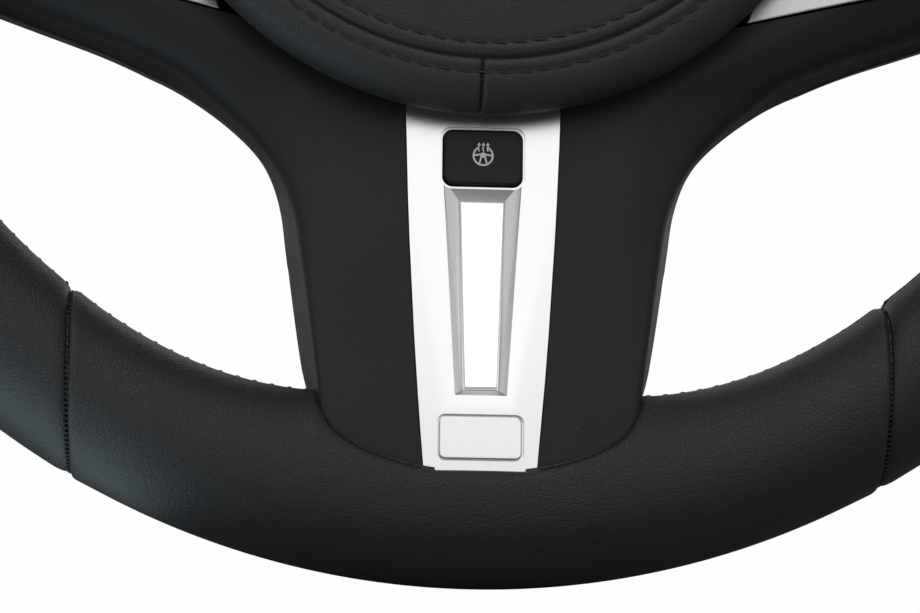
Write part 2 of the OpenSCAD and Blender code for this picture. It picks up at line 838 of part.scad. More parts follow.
module switch_panel(side) {
    color("#101112") stand() difference() {
        intersection() {
            on_arm(side) translate([-20, -far / 2, -panel_depth]) cube([far, far, panel_depth]);
            translate([0, 0, -far]) linear_extrude(2 * far) mirror([side < 0 ? 1 : 0, 0, 0]) panel_outline();
        }
        intersection() {
            on_arm(side) translate([-20, -far / 2, -far]) cube([far, far, far - panel_wall]);
            translate([0, 0, -far]) linear_extrude(2 * far) mirror([side < 0 ? 1 : 0, 0, 0])
                panel_outline(panel_wall);
        }
        for (kind = ["upper", "lower", "round"])
            on_arm(side) translate([0, 0, -far / 2]) linear_extrude(far) key_outline(kind, key_gap);
        // Notch in the outer wall for the armature's spoke
        spokes(cover_gap);
    }
}

module left_switch_panel() switch_panel(-1);
module right_switch_panel() switch_panel(1);

module key(side, kind) {
    color("#1b1c1e") stand() on_arm(side) translate([0, 0, key_foot]) linear_extrude(0.6 - key_foot)
        key_outline(kind, 0);
}

module left_upper_key() key(-1, "upper");
module left_lower_key() key(-1, "lower");
module left_round_key() key(-1, "round");
module right_upper_key() key(1, "upper");
module right_lower_key() key(1, "lower");
module right_round_key() key(1, "round");

module key_board(side) {
    color("#2f5d3a") stand() intersection() {
        on_arm(side) translate([-20, -far / 2, board_z]) cube([far, far, board_t]);
        translate([0, 0, -far]) linear_extrude(2 * far) mirror([side < 0 ? 1 : 0, 0, 0])
            panel_outline(panel_wall + 0.3);
    }
}

module left_key_board() key_board(-1);
module right_key_board() key_board(1);

// Side view of the rear cover's bowl
module bowl(inset) {
    rotate_extrude($fn = 96) polygon([
        [0, bowl_z + inset], [bowl_r - 30 - inset * 0.3, bowl_z + 1 + inset],
        [bowl_r - 8 - inset * 0.8, bowl_z + 10.5 + inset * 0.6],
        [bowl_r - 2 - inset, bowl_z + 20.5], [bowl_r - inset, bowl_front + inset], [0, bowl_front + inset]
    ]);
}

module rear_cover() {
    color("#202123") stand() difference() {
        union() {
            difference() {
                union() {
                    bowl(0);
                    spoke_solid(0, false);
                }
                bowl(rear_wall);
                spoke_solid(rear_wall, false);
                spokes(cover_gap);
                // Join with the front cover
                translate([0, 0, -cover_gap]) spoke_solid(-0.2, true);
            }
            // Pillars that carry the cover on the hub plate
            three(screw_circle_r, 30) translate([0, 0, screw_seat]) cylinder(r = 4, h = hub_z - screw_seat, $fn = 48);
        }
        translate([0, 0, -1]) cylinder(r = rear_hole_r, h = far);
        // Room for the front cover's walls, the airbag module and the side panels
        translate([0, 0, bowl_front - cover_gap]) cylinder(r = bowl_r + 1, h = far);
        three(screw_circle_r, 30) translate([0, 0, -1]) cylinder(r = screw_r + 0.3, h = far, $fn = 48);
        // Opening round the socket
        translate([-socket_w / 2 - 1, socket_y - socket_h / 2 - 1, -1]) cube([socket_w + 2, socket_h + 2, 20]);
    }
}

module cover_screws() {
    color("#777a7d") stand() three(screw_circle_r, 30) {
        translate([0, 0, screw_seat - 2]) cylinder(r = 3.4, h = 2);
        translate([0, 0, screw_seat - 1]) cylinder(r = screw_r, h = hub_front - screw_seat + 1);
    }
}

module damper_mass() {
    color("#6d7074") stand() difference() {
        translate([0, 0, hub_z - damper_t - 1]) cylinder(r = damper_r, h = damper_t);
        cylinder(r = boss_r + 4, h = hub_z);
        three(bush_circle_r, 90) cylinder(r = bush_r, h = hub_z);
    }
}

module damper_bushes() {
    color("#262626") stand() three(bush_circle_r, 90)
        translate([0, 0, hub_z - damper_t - 2]) cylinder(r = bush_r, h = damper_t + 2);
}

module socket() {
    wall = 1.5;
    color("#3b3c3e") stand() translate([0, socket_y, 0]) difference() {
        translate([-socket_w / 2, -socket_h / 2, 1]) cube([socket_w, socket_h, hub_z - 1]);
        translate([wall - socket_w / 2, wall - socket_h / 2, 0])
            cube([socket_w - 2 * wall, socket_h - 2 * wall, hub_z - 3]);
    }
}

armature();
rim_foam();
heating_mat();
leather_bottom();
leather_left();
leather_right();
leather_top();
spoke_cover();
trim_plate();
trim_inlay();
blank_pad();
heating_button();
switch_housing();
airbag_cover();
airbag_tray();
airbag_cushion();
inflator();
guide_pins();
horn_springs();
horn_contacts();
left_trim();
right_trim();
left_switch_panel();
right_switch_panel();
left_key_board();
right_key_board();
left_upper_key();
left_lower_key();
left_round_key();
right_upper_key();
right_lower_key();
right_round_key();
rear_cover();
cover_screws();
damper_mass();
damper_bushes();
socket();
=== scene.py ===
from math import atan2, cos, exp, hypot, pi, radians, sin, sqrt

import bmesh
import bpy
from mathutils import Matrix, Vector
from mathutils.kdtree import KDTree


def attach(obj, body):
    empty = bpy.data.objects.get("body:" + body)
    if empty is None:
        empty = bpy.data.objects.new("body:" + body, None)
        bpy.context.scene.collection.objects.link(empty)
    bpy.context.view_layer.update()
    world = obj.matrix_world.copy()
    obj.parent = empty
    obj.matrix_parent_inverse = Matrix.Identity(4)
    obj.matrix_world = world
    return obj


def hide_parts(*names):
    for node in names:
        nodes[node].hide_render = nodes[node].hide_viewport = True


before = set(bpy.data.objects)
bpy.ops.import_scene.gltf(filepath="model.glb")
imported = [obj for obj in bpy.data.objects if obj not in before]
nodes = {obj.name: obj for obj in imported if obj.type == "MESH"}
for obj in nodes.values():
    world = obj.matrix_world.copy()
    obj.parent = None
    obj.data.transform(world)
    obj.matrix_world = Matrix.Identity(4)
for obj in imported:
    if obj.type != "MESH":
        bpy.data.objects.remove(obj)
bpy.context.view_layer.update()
scene = bpy.context.scene
print("frame loaded,", len(nodes), "nodes")

# Drawing frame: millimetres, x right, y up the wheel, z towards the driver
mm = 0.001
upright = Matrix.Rotation(radians(90), 4, "X") @ Matrix.Diagonal((mm, mm, mm, 1))

# What the pieces share, in millimetres
wheel = {
    "rimInside": 150, "ringMiddle": 167.5, "halfWide": 17.5, "halfDeep": 15.5, "rimHeight": 50,
    "seamAt": 91,
    "bagRadius": 84, "bagUp": 5.5, "bagLow": 78.5,
    "legEnd": 159.5, "faceHeight": 48, "faceSlope": 0.17037,
}
legTilt = atan2(wheel["faceSlope"], 1)
legLength = (wheel["legEnd"] - wheel["bagLow"]) / cos(legTilt)
onLeg = Matrix.Translation((0, -wheel["bagLow"], wheel["faceHeight"])) @ Matrix.Rotation(-legTilt, 4, "X")


def between(table, at):  # straight lines through a table of pairs
    if at <= table[0][0]:
        return table[0][1]
    for (a, low), (b, high) in zip(table, table[1:]):
        if at <= b:
            return low + (high - low) * (at - a) / (b - a)
    return table[-1][1]


def smooth(at, start, end):  # 0 before start, 1 after end, soft in between
    t = min(1, max(0, (at - start) / (end - start)))
    return t * t * (3 - 2 * t)


# Shader helpers and the effects that several materials share

def put(tree, kind, inputs=None, **options):
    made = tree.nodes.new(kind)
    for label, value in options.items():
        setattr(made, label, value)
    for label, value in (inputs or {}).items():
        if isinstance(value, bpy.types.NodeSocket):
            tree.links.new(value, made.inputs[label])
        else:
            made.inputs[label].default_value = value
    return made


def reckon(tree, operation, a, b=0.0, clamp=False):
    return put(tree, "ShaderNodeMath", {0: a, 1: b}, operation=operation, use_clamp=clamp).outputs[0]


def stretch(tree, value, low, high, start=0.0, end=1.0):
    made = put(tree, "ShaderNodeMapRange", {
        "Value": value, "From Min": low, "From Max": high, "To Min": start, "To Max": end})
    return made.outputs["Result"]


def makeGroup(name, inputs, outputs):
    group = bpy.data.node_groups.new(name, "ShaderNodeTree")
    for label, value in inputs.items():
        kind = "NodeSocketVector" if value is None else "NodeSocketFloat"
        made = group.interface.new_socket(name=label, in_out="INPUT", socket_type=kind)
        if value is not None:
            made.default_value = value
    for label in outputs:
        group.interface.new_socket(name=label, in_out="OUTPUT", socket_type="NodeSocketFloat")
    return group, put(group, "NodeGroupInput").outputs, put(group, "NodeGroupOutput").inputs


def makeLeatherGrain():  # pebbles with creases between them, and a few long folds
    group, given, result = makeGroup(
        "leatherGrain", {"Vector": None, "Scale": 1000.0, "Folds": 0.3}, ["Height", "Crease"])
    drift = put(group, "ShaderNodeTexNoise", {
        "Vector": given["Vector"], "Scale": reckon(group, "MULTIPLY", given["Scale"], 0.45), "Detail": 2.0})
    bent = put(group, "ShaderNodeVectorMath", {
        0: drift.outputs["Color"], 1: given["Vector"], "Scale": 0.00035}, operation="SCALE")
    moved = put(group, "ShaderNodeVectorMath", {0: bent.outputs[0], 1: given["Vector"]}, operation="ADD")
    cells = put(group, "ShaderNodeTexVoronoi", {
        "Vector": moved.outputs[0], "Scale": given["Scale"]}, feature="DISTANCE_TO_EDGE")
    pebble = stretch(group, cells.outputs["Distance"], 0.0, 0.16)
    wide = put(group, "ShaderNodeTexVoronoi", {
        "Vector": moved.outputs[0], "Scale": reckon(group, "MULTIPLY", given["Scale"], 0.21)},
        feature="DISTANCE_TO_EDGE")
    fold = stretch(group, wide.outputs["Distance"], 0.0, 0.09)
    fine = put(group, "ShaderNodeTexNoise", {
        "Vector": given["Vector"], "Scale": reckon(group, "MULTIPLY", given["Scale"], 3.5), "Detail": 2.0})
    height = reckon(group, "ADD", pebble, reckon(group, "MULTIPLY", fold, given["Folds"]))
    height = reckon(group, "ADD", height, reckon(group, "MULTIPLY", fine.outputs["Fac"], 0.5))
    group.links.new(height, result["Height"])
    # Crease is 1 in the grooves between pebbles, where the finishes darken the colour: painted shade
    group.links.new(reckon(group, "SUBTRACT", 1.0, pebble), result["Crease"])
    return group


def makeMouldedGrain():  # the fine pitting of a grained mould
    group, given, result = makeGroup(
        "mouldedGrain", {"Vector": None, "Scale": 2200.0, "Folds": 0.0}, ["Height", "Crease"])
    pits = put(group, "ShaderNodeTexVoronoi", {
        "Vector": given["Vector"], "Scale": given["Scale"], "Smoothness": 0.6}, feature="SMOOTH_F1")
    fine = put(group, "ShaderNodeTexNoise", {
        "Vector": given["Vector"], "Scale": reckon(group, "MULTIPLY", given["Scale"], 1.7), "Detail": 3.0})
    height = reckon(group, "ADD", pits.outputs["Distance"], fine.outputs["Fac"])
    group.links.new(height, result["Height"])
    # Crease is 1 on the flats and 0 in the pits, so the finishes draw the pits darker: painted shade
    group.links.new(stretch(group, pits.outputs["Distance"], 0.4, 0.8), result["Crease"])
    return group


def makeMetalGrain():  # blasted or brushed metal, by the scale of its mapping
    group, given, result = makeGroup(
        "metalGrain", {"Vector": None, "Scale": 1500.0, "Folds": 0.0}, ["Height", "Crease"])
    fine = put(group, "ShaderNodeTexNoise", {
        "Vector": given["Vector"], "Scale": given["Scale"], "Detail": 4.0, "Roughness": 0.6})
    group.links.new(fine.outputs["Fac"], result["Height"])
    group.links.new(stretch(group, fine.outputs["Fac"], 0.35, 0.65), result["Crease"])
    return group


def makeWeave():  # two crossing sets of threads
    group, given, result = makeGroup(
        "weave", {"Vector": None, "Scale": 900.0, "Folds": 0.0}, ["Height", "Crease"])
    threads = []
    for direction in ("X", "Z"):
        wave = put(group, "ShaderNodeTexWave", {
            "Vector": given["Vector"], "Scale": reckon(group, "MULTIPLY", given["Scale"], 0.16),
            "Distortion": 0.4, "Detail": 1.0}, bands_direction=direction)
        threads.append(wave.outputs["Fac"])
    over = reckon(group, "MAXIMUM", *threads)
    group.links.new(over, result["Height"])
    # Crease is 1 in the gaps between threads, where the finishes darken the colour: painted shade
    group.links.new(reckon(group, "SUBTRACT", 1.0, over), result["Crease"])
    return group


def makeDust():  # sparse light specks
    group, given, result = makeGroup("dustSpecks", {"Vector": None, "Amount": 0.5}, ["Mask"])
    total = None
    for scale, size in ((170.0, 0.022), (420.0, 0.04)):
        spots = put(group, "ShaderNodeTexVoronoi", {"Vector": given["Vector"], "Scale": scale})
        chosen = put(group, "ShaderNodeSeparateColor", {"Color": spots.outputs["Color"]})
        lucky = reckon(group, "GREATER_THAN", chosen.outputs[0], 0.62)
        near = reckon(group, "LESS_THAN", spots.outputs["Distance"],
                      reckon(group, "MULTIPLY", chosen.outputs[1], size))
        spot = reckon(group, "MULTIPLY", lucky, near)
        total = spot if total is None else reckon(group, "MAXIMUM", total, spot)
    group.links.new(reckon(group, "MULTIPLY", total, given["Amount"]), result["Mask"])
    return group


def makeDrift():  # slow change over the surface, for tone and gloss
    group, given, result = makeGroup("toneDrift", {"Vector": None, "Scale": 30.0}, ["Value"])
    slow = put(group, "ShaderNodeTexNoise", {
        "Vector": given["Vector"], "Scale": given["Scale"], "Detail": 3.0, "Roughness": 0.55})
    group.links.new(stretch(group, slow.outputs["Fac"], 0.3, 0.7, -1.0, 1.0), result["Value"])
    return group


grains = {
    "leather": makeLeatherGrain(), "moulded": makeMouldedGrain(),
    "metal": makeMetalGrain(), "weave": makeWeave(),
}
dustGroup = makeDust()
driftGroup = makeDrift()

# One line for each finish: colour, roughness, grain and how deep it is in millimetres; crease sets how much
# darker the grain's hollows are drawn, a painted shade (on metal grains only a change of tone)
finishes = {
    "black_leather": dict(colour=(0.0105, 0.0107, 0.0112), rough=0.5, grain="leather", scale=1050, folds=0.35,
                          depth=0.055, crease=-0.3, dust=0.35, drift=0.05, specular=0.42),
    # Airbag leather: the rim's black leather drawn over twice as light, painted light standing in for the
    # light on the airbag's face
    "bag_leather_painted_light": dict(colour=(0.025, 0.025, 0.026), rough=0.48, grain="leather", scale=1200, folds=0.3,
                        depth=0.05, crease=-0.3, dust=0.4, drift=0.05, specular=0.42),
    "soft_black_plastic": dict(colour=(0.0105, 0.0106, 0.011), rough=0.56, grain="moulded", scale=1900,
                               depth=0.03, crease=0.1, dust=0.6, drift=0.04, specular=0.31),
    "thread": dict(colour=(0.02, 0.02, 0.021), rough=0.62, grain="weave", scale=3000, depth=0.05,
                   crease=-0.4, drift=0.05, specular=0.3),
    "button_black": dict(colour=(0.0085, 0.0085, 0.009), rough=0.42, grain="moulded", scale=2600, depth=0.012,
                         crease=0.05, dust=0.25, drift=0.03, specular=0.2),
    "gloss_black": dict(colour=(0.008, 0.008, 0.0085), rough=0.16, grain="metal", scale=300, depth=0.004,
                        crease=0.0, dust=0.4, drift=0.03, specular=0.45),
    "satin_silver": dict(colour=(0.80, 0.805, 0.815), rough=0.3, metallic=1.0, grain="metal", scale=5200,
                         depth=0.006, crease=-0.05, drift=0.03),
    "bright_silver": dict(colour=(0.9, 0.9, 0.905), rough=0.2, metallic=1.0, grain="metal", scale=2600,
                          depth=0.003, crease=-0.02, drift=0.02),
    "pictogram": dict(colour=(0.62, 0.63, 0.64), rough=0.5, grain="moulded", scale=4000, depth=0.004,
                      crease=0.0, drift=0.02, specular=0.4),
    "inner_plastic": dict(colour=(0.024, 0.024, 0.026), rough=0.5, grain="moulded", scale=1800, depth=0.02,
                          crease=0.1, drift=0.05),
    "die_cast": dict(colour=(0.42, 0.43, 0.44), rough=0.48, metallic=1.0, grain="metal", scale=900,
                     depth=0.05, crease=-0.25, drift=0.08),
    "steel_sheet": dict(colour=(0.45, 0.46, 0.48), rough=0.38, metallic=1.0, grain="metal", scale=1600,
                        depth=0.012, crease=-0.1, drift=0.06),
    "bright_steel": dict(colour=(0.62, 0.62, 0.63), rough=0.25, metallic=1.0, grain="metal", scale=2500,
                         depth=0.006, crease=-0.08, drift=0.05),
    "contact_brass": dict(colour=(0.62, 0.42, 0.14), rough=0.3, metallic=1.0, grain="metal", scale=2000,
                          depth=0.006, crease=-0.1, drift=0.08),
    "foam": dict(colour=(0.045, 0.045, 0.047), rough=0.8, grain="moulded", scale=1200, depth=0.09,
                 crease=0.3, drift=0.1, specular=0.3),
    "heating_mat": dict(colour=(0.48, 0.36, 0.2), rough=0.7, grain="weave", scale=1300, depth=0.09,
                        crease=-0.55, drift=0.08, specular=0.3),
    "cushion_cloth": dict(colour=(0.62, 0.59, 0.52), rough=0.75, grain="weave", scale=2200, depth=0.08,
                          crease=-0.4, drift=0.07, specular=0.3),
    "board_green": dict(colour=(0.03, 0.16, 0.06), rough=0.35, grain="weave", scale=2500, depth=0.008,
                        crease=-0.2, drift=0.06),
    "black_rubber": dict(colour=(0.016, 0.016, 0.016), rough=0.7, grain="moulded", scale=1500, depth=0.03,
                         crease=0.2, drift=0.06, specular=0.3),
}


def makeFinish(name):
    look = finishes[name]
    material = bpy.data.materials.new(name)
    material.use_nodes = True
    tree = material.node_tree
    shader = tree.nodes["Principled BSDF"]
    where = put(tree, "ShaderNodeTexCoord").outputs["Object"]

    def place(group, **inputs):
        made = put(tree, "ShaderNodeGroup", node_tree=group)
        tree.links.new(where, made.inputs["Vector"])
        for label, value in inputs.items():
            made.inputs[label].default_value = value
        return made.outputs

    grain = place(grains[look["grain"]], Scale=look["scale"], Folds=look.get("folds", 0.0))
    drift = place(driftGroup, Scale=28.0)["Value"]
    # The colour is drawn darker in the grain's grooves, pits and gaps between threads: painted shade at grain
    # scale; on the metal grains it only shifts the tone
    tone = reckon(tree, "ADD", 1.0, reckon(tree, "MULTIPLY", grain["Crease"], look["crease"]))
    tone = reckon(tree, "ADD", tone, reckon(tree, "MULTIPLY", drift, look["drift"] * 1.5))
    base = put(tree, "ShaderNodeVectorMath", {0: look["colour"], "Scale": tone}, operation="SCALE").outputs[0]
    rough = reckon(tree, "ADD", look["rough"], reckon(tree, "MULTIPLY", drift, look["drift"]))
    if look.get("dust"):
        dust = place(dustGroup, Amount=look["dust"])["Mask"]
        mix = put(tree, "ShaderNodeMix", data_type="RGBA")
        tree.links.new(dust, mix.inputs["Factor"])
        tree.links.new(base, mix.inputs[6])
        mix.inputs[7].default_value = (0.42, 0.42, 0.41, 1)
        base = mix.outputs[2]
        rough = reckon(tree, "ADD", rough, reckon(tree, "MULTIPLY", dust, 0.3))
    tree.links.new(base, shader.inputs["Base Color"])
    tree.links.new(rough, shader.inputs["Roughness"])
    bump = put(tree, "ShaderNodeBump", {
        "Strength": 1.0, "Distance": look["depth"] * mm, "Height": grain["Height"]})
    tree.links.new(bump.outputs["Normal"], shader.inputs["Normal"])
    shader.inputs["Metallic"].default_value = look.get("metallic", 0.0)
    shader.inputs["Specular IOR Level"].default_value = look.get("specular", 0.5)
    material.diffuse_color = (*look["colour"], 1)
    return material


materials = {name: makeFinish(name) for name in finishes}
print("materials made,", len(materials))


# Making a piece from a mesh in the drawing frame

def makePiece(name, bm, finish, stands=(), body="wheel", sharp=38):
    bm.transform(upright)
    bmesh.ops.recalc_face_normals(bm, faces=bm.faces)
    for face in bm.faces:
        face.smooth = True
    mesh = bpy.data.meshes.new(name)
    bm.to_mesh(mesh)
    bm.free()
    mesh.set_sharp_from_angle(angle=radians(sharp))
    mesh.materials.append(materials[finish])
    piece = bpy.data.objects.new(name, mesh)
    scene.collection.objects.link(piece)
    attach(piece, body)
    if stands:
        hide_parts(*stands)


def loose(bm):  # an object for one step of the work
    mesh = bpy.data.meshes.new("work")
    bm.to_mesh(mesh)
    bm.free()
    made = bpy.data.objects.new("work", mesh)
    scene.collection.objects.link(made)
    return made


def carve(bm, cutters, wall=0.0, even=True):  # gives a sheet its wall, then cuts the cutters away
    work = loose(bm)
    tools = [loose(cutter) for cutter in cutters]
    if wall:
        solid = work.modifiers.new("wall", "SOLIDIFY")
        solid.thickness, solid.offset, solid.use_even_offset = wall, -1, even
    for tool in tools:
        cut = work.modifiers.new("cut", "BOOLEAN")
        cut.object, cut.operation, cut.solver = tool, "DIFFERENCE", "MANIFOLD"
    shaped = work.evaluated_get(bpy.context.evaluated_depsgraph_get())
    result = bmesh.new()
    result.from_mesh(bpy.data.meshes.new_from_object(shaped))
    for made in [work, *tools]:
        bpy.data.objects.remove(made)
    return result


def softCopy(node, width):  # a CAD node with its sharp edges rounded
    bm = bmesh.new()
    bm.from_mesh(nodes[node].data)
    bm.transform(Matrix.Diagonal((1 / mm, 1 / mm, 1 / mm, 1)))
    bmesh.ops.remove_doubles(bm, verts=bm.verts, dist=0.002)
    bmesh.ops.dissolve_limit(bm, angle_limit=radians(0.6), verts=bm.verts, edges=bm.edges)
    edges = [e for e in bm.edges if len(e.link_faces) == 2 and e.calc_face_angle(0) > radians(28)]
    bmesh.ops.bevel(bm, geom=edges, offset=width, offset_type="OFFSET", affect="EDGES", segments=2,
                    profile=0.5, material=-1, clamp_overlap=True)
    bm.transform(upright.inverted() @ Matrix.Diagonal((mm, mm, mm, 1)))
    return bm


def edgesOf(faces):  # each edge once, in an order that is the same in every run
    return list(dict.fromkeys(e for f in faces for e in f.edges))


def cutAcross(bm, at, normal, faces=None, away=False):  # a loop of edges where a plane crosses
    if faces is None:
        geometry = [*bm.verts, *bm.edges, *bm.faces]
    else:
        edges = edgesOf(faces)
        geometry = [*dict.fromkeys(v for e in edges for v in e.verts), *edges, *faces]
    bmesh.ops.bisect_plane(bm, geom=geometry, dist=1e-4, plane_co=at, plane_no=normal, clear_outer=away)


def cylinder(radius, low, high, at=(0, 0), segments=180):
    bm = bmesh.new()
    bmesh.ops.create_cone(bm, cap_ends=True, segments=segments, radius1=radius, radius2=radius,
                          depth=high - low)
    bmesh.ops.translate(bm, vec=(at[0], at[1], (low + high) / 2), verts=bm.verts)
    return bm


def pullUp(bm, height):  # makes a solid of a flat sheet
    made = bmesh.ops.extrude_face_region(bm, geom=bm.faces[:])["geom"]
    verts = [v for v in made if isinstance(v, bmesh.types.BMVert)]
    bmesh.ops.translate(bm, vec=(0, 0, height), verts=verts)


def addStitches(bm, places, length, width, height):
    size = Matrix.Diagonal((length / 2, width / 2, height / 2, 1))
    for place in places:
        bmesh.ops.create_uvsphere(bm, u_segments=6, v_segments=5, radius=1, matrix=place @ size)


def framed(at, along, out):  # a place for a stitch: its length along one way, its top out of the surface
    out = Vector(out).normalized()
    along = Vector(along)
    along = (along - out * along.dot(out)).normalized()
    across = out.cross(along)
    turn = Matrix((along, across, out)).transposed().to_4x4()
    return Matrix.Translation(at) @ turn


# Outline and faces of the spokes, as in the part's source

spokes = {
    "legX": 37.6, "lean": 0.14, "sweep": 43, "armEdgeX": 74.39, "armEdgeY": 68.89, "armRise": 0.33,
    "ridgeX": 33.5, "ridgeRise": 0.56, "tipRadius": 78, "tipCut": 0.6, "flatX": 25, "drop": 0.28,
    "armReach": 149.6, "armTop": 18, "armCutLow": -68.89, "armCutRise": 0.22, "joinHeight": 30,
    "edgeRadius": 1.8, "foldSoftness": 0.015, "wall": 3.0, "bagHole": 82.8, "rearHeight": 14, "rearRound": 4,
    "faceOut": [(-160, 0), (-151, -0.9), (-142, -2.3), (-130, -2.5), (-120, -2.4), (-110, -2.2), (-101, -1.9),
                (-90, -1.2), (-82, 0), (-77, 0.5), (-73, 0.1), (-69, -1.2), (-65, -2.3), (-50, -2.4)],
    "footOut": [(-160, 0), (-151, -0.9), (-145, -0.3), (-138, 0.55), (-124, 0.7), (-105, 0.75),
                (-96, 0.45), (-90, 0.2), (-86, 0.5), (-82, 1.4), (-78, 1.9), (-74, 2.1), (-70, 1.3),
                (-66, -0.2), (-50, -0.4)],
}


def edgeAt(y, leanX, lean, px, py, rise, r):
    end = wheel["legEnd"]
    root, tilt = sqrt(1 + rise * rise), sqrt(1 + lean * lean)
    cx = (leanX + lean * (-py - rise * px - r * root + end - 10) + r * tilt) / (1 - lean * rise)
    cy = -py + rise * (cx - px) - r * root
    if y < cy + r * lean / tilt:
        return leanX + lean * (y + end - 10)
    if y < cy + r / root:
        return cx - sqrt(r * r - (y - cy) ** 2)
    return px + (y + py) / rise


def legHalf(y, out=0.0):  # out: how far it lies outside the part's own outline
    s = spokes

    def edge(at):
        return edgeAt(at, s["legX"], s["lean"], s["armEdgeX"], s["armEdgeY"], s["armRise"], s["sweep"])

    half = edge(y) + out * sqrt(1 + (5 * (edge(y + 0.1) - edge(y - 0.1))) ** 2)
    up = y + wheel["legEnd"]
    if up < s["tipRadius"] * 0.6:
        tip = sqrt(max(1, s["tipRadius"] ** 2 - (up - s["tipRadius"]) ** 2))
        return (half ** -8 + tip ** -8) ** (-1 / 8)
    return min(half, sqrt(s["armReach"] ** 2 - y * y))


def ridgeHalf(y, half):
    s = spokes
    inner = edgeAt(y, s["ridgeX"], 0, s["armEdgeX"] - 8, s["armEdgeY"] - 10, s["ridgeRise"], s["sweep"] * 0.6)
    return min(half * 0.86, inner)


def dish(x, y, height):
    reach = sqrt(y * y + 1.3 * max(0, abs(x) - spokes["flatX"]) ** 2)
    return height + wheel["faceSlope"] * (reach - wheel["bagLow"])


def eased(table, at, reach=3.0):
    return sum(between(table, at + reach * i / 3) for i in range(-3, 4)) / 7


def faceHalf(y):
    return legHalf(y, eased(spokes["faceOut"], y))


def footHalf(y):
    return legHalf(y, eased(spokes["footOut"], y))


def traceOutline():
    low = spokes["tipCut"] - wheel["legEnd"]
    places = [(x * 0.25, low) for x in range(int(faceHalf(low) * 4))]
    y = low
    while y < spokes["armTop"]:
        places.append((faceHalf(y), y))
        y += 0.02 if y < low + 3 else 0.1 if y < -60 else 0.25
    tree = KDTree(2 * len(places))
    for i, (x, y) in enumerate(places):
        tree.insert((x, y, 0), 2 * i)
        tree.insert((-x, y, 0), 2 * i + 1)
    tree.balance()
    return tree


outline = traceOutline()


def beyondEdge(x, y):  # distance outside the spokes' outline, less than 0 inside it
    away = outline.find((x, y, 0))[2]
    inside = y > spokes["tipCut"] - wheel["legEnd"] and abs(x) < faceHalf(y)
    return -away if inside else away


# Rim leather: four panels sewn together, over foam that swells up to the lower spoke

leather = {
    "sectionPoints": 96, "wall": 1.2, "openingGap": 0.5, "seamOverlap": 0.02,
    "middleSeam": [(0.05, -1.5), (0.3, -0.45), (0.7, -0.05), (1.4, 0.12), (2.4, 0.12), (3.2, 0.08), (6, 0)],
    "sideSeam": [(0.05, -1.5), (0.35, -0.9), (0.8, -0.5), (1.4, -0.24), (2.2, -0.06), (3.2, 0.04), (6, 0)],
    "openingEdge": [(0, -1.7), (0.25, -1.0), (0.6, -0.5), (1.1, -0.2), (1.8, -0.04), (2.8, 0.05), (5, 0)],
    "grooveWidth": 0.75, "grooveDepth": 0.85, "puffAt": 2.2, "puffWidth": 1.2, "puffHeight": 0.16,
    "innerPitch": 4.0, "innerStitch": (2.8, 0.9, 1.0), "innerSink": 0.25, "innerSlant": 0.45,
    "seamPitch": 1.15, "seamStitch": (1.3, 0.42, 0.42), "seamSink": 0.62,
    "flareFrom": 37.3, "flareHeight": 3.9, "flareLength": 19, "lipHeight": 0.9, "lipLength": 2.5,
}


def flare(x, y):  # how far the rim's inner half swells beside the lower spoke
    away = max(0, abs(x) - leather["flareFrom"])
    swell = leather["flareHeight"] * exp(-(away / leather["flareLength"]) ** 1.5)
    return (swell + leather["lipHeight"] * exp(-away / leather["lipLength"])) * smooth(-y, 20, 100)


def spinRim(start, sweep, steps):
    bm = bmesh.new()
    points = leather["sectionPoints"]
    bmesh.ops.create_circle(bm, segments=points, radius=1)
    for vert in bm.verts:  # closer together at the inner side, where the sewn groove runs
        a = atan2(vert.co.y, vert.co.x)
        a += 0.6 * sin(a)
        vert.co = (wheel["ringMiddle"] + wheel["halfWide"] * cos(a), 0,
                   wheel["rimHeight"] + wheel["halfDeep"] * sin(a))
    bmesh.ops.rotate(bm, cent=(0, 0, 0), matrix=Matrix.Rotation(radians(start), 3, "Z"), verts=bm.verts)
    bmesh.ops.spin(bm, geom=bm.edges[:], cent=(0, 0, 0), axis=(0, 0, 1), dvec=(0, 0, 0), angle=radians(sweep),
                   steps=steps, use_duplicate=False)
    return bm


def rimNormal(co):  # out of the rim's oval section
    r = hypot(co.x, co.y)
    across = (r - wheel["ringMiddle"]) / wheel["halfWide"] ** 2
    deep = (co.z - wheel["rimHeight"]) / wheel["halfDeep"] ** 2
    return Vector((co.x / r * across, co.y / r * across, deep)).normalized()


def shapeRim(bm, opening):
    for vert in bm.verts:
        co = vert.co
        out = rimNormal(co)
        r = hypot(co.x, co.y)
        inner = (wheel["ringMiddle"] - r) / wheel["halfWide"]
        side = atan2((co.z - wheel["rimHeight"]) / wheel["halfDeep"], inner)
        past = abs(co.x) - wheel["seamAt"]
        off = between(leather["sideSeam" if past > 0 else "middleSeam"], abs(past))
        fromGroove = side * wheel["halfDeep"]
        off -= leather["grooveDepth"] * exp(-(fromGroove / leather["grooveWidth"]) ** 2)
        fromPuff = abs(fromGroove) - leather["puffAt"]
        off += leather["puffHeight"] * exp(-(fromPuff / leather["puffWidth"]) ** 2)
        if opening:
            off += between(leather["openingEdge"], max(0, beyondEdge(co.x, co.y) - leather["openingGap"]))
        move = out * off
        if inner > 0:
            swell = flare(co.x, co.y) * min(1, inner)
            move -= Vector((co.x / r, co.y / r, 0)) * swell
        vert.co = co + move


def faceOut(bm):  # turns the rim's sheet so that its faces point away from its middle line
    face = next(iter(bm.faces))
    face.normal_update()
    if face.normal.dot(rimNormal(face.calc_center_median())) < 0:
        bmesh.ops.reverse_faces(bm, faces=bm.faces)


def addSeamLoops(bm, sides):
    for side in sides:
        for off in (0.2, 0.35, 0.55, 0.8, 1.4, 2.2, 3.2):
            cutAcross(bm, (side * (wheel["seamAt"] + off), 0, 0), (1, 0, 0))
            cutAcross(bm, (side * (wheel["seamAt"] - off), 0, 0), (1, 0, 0))


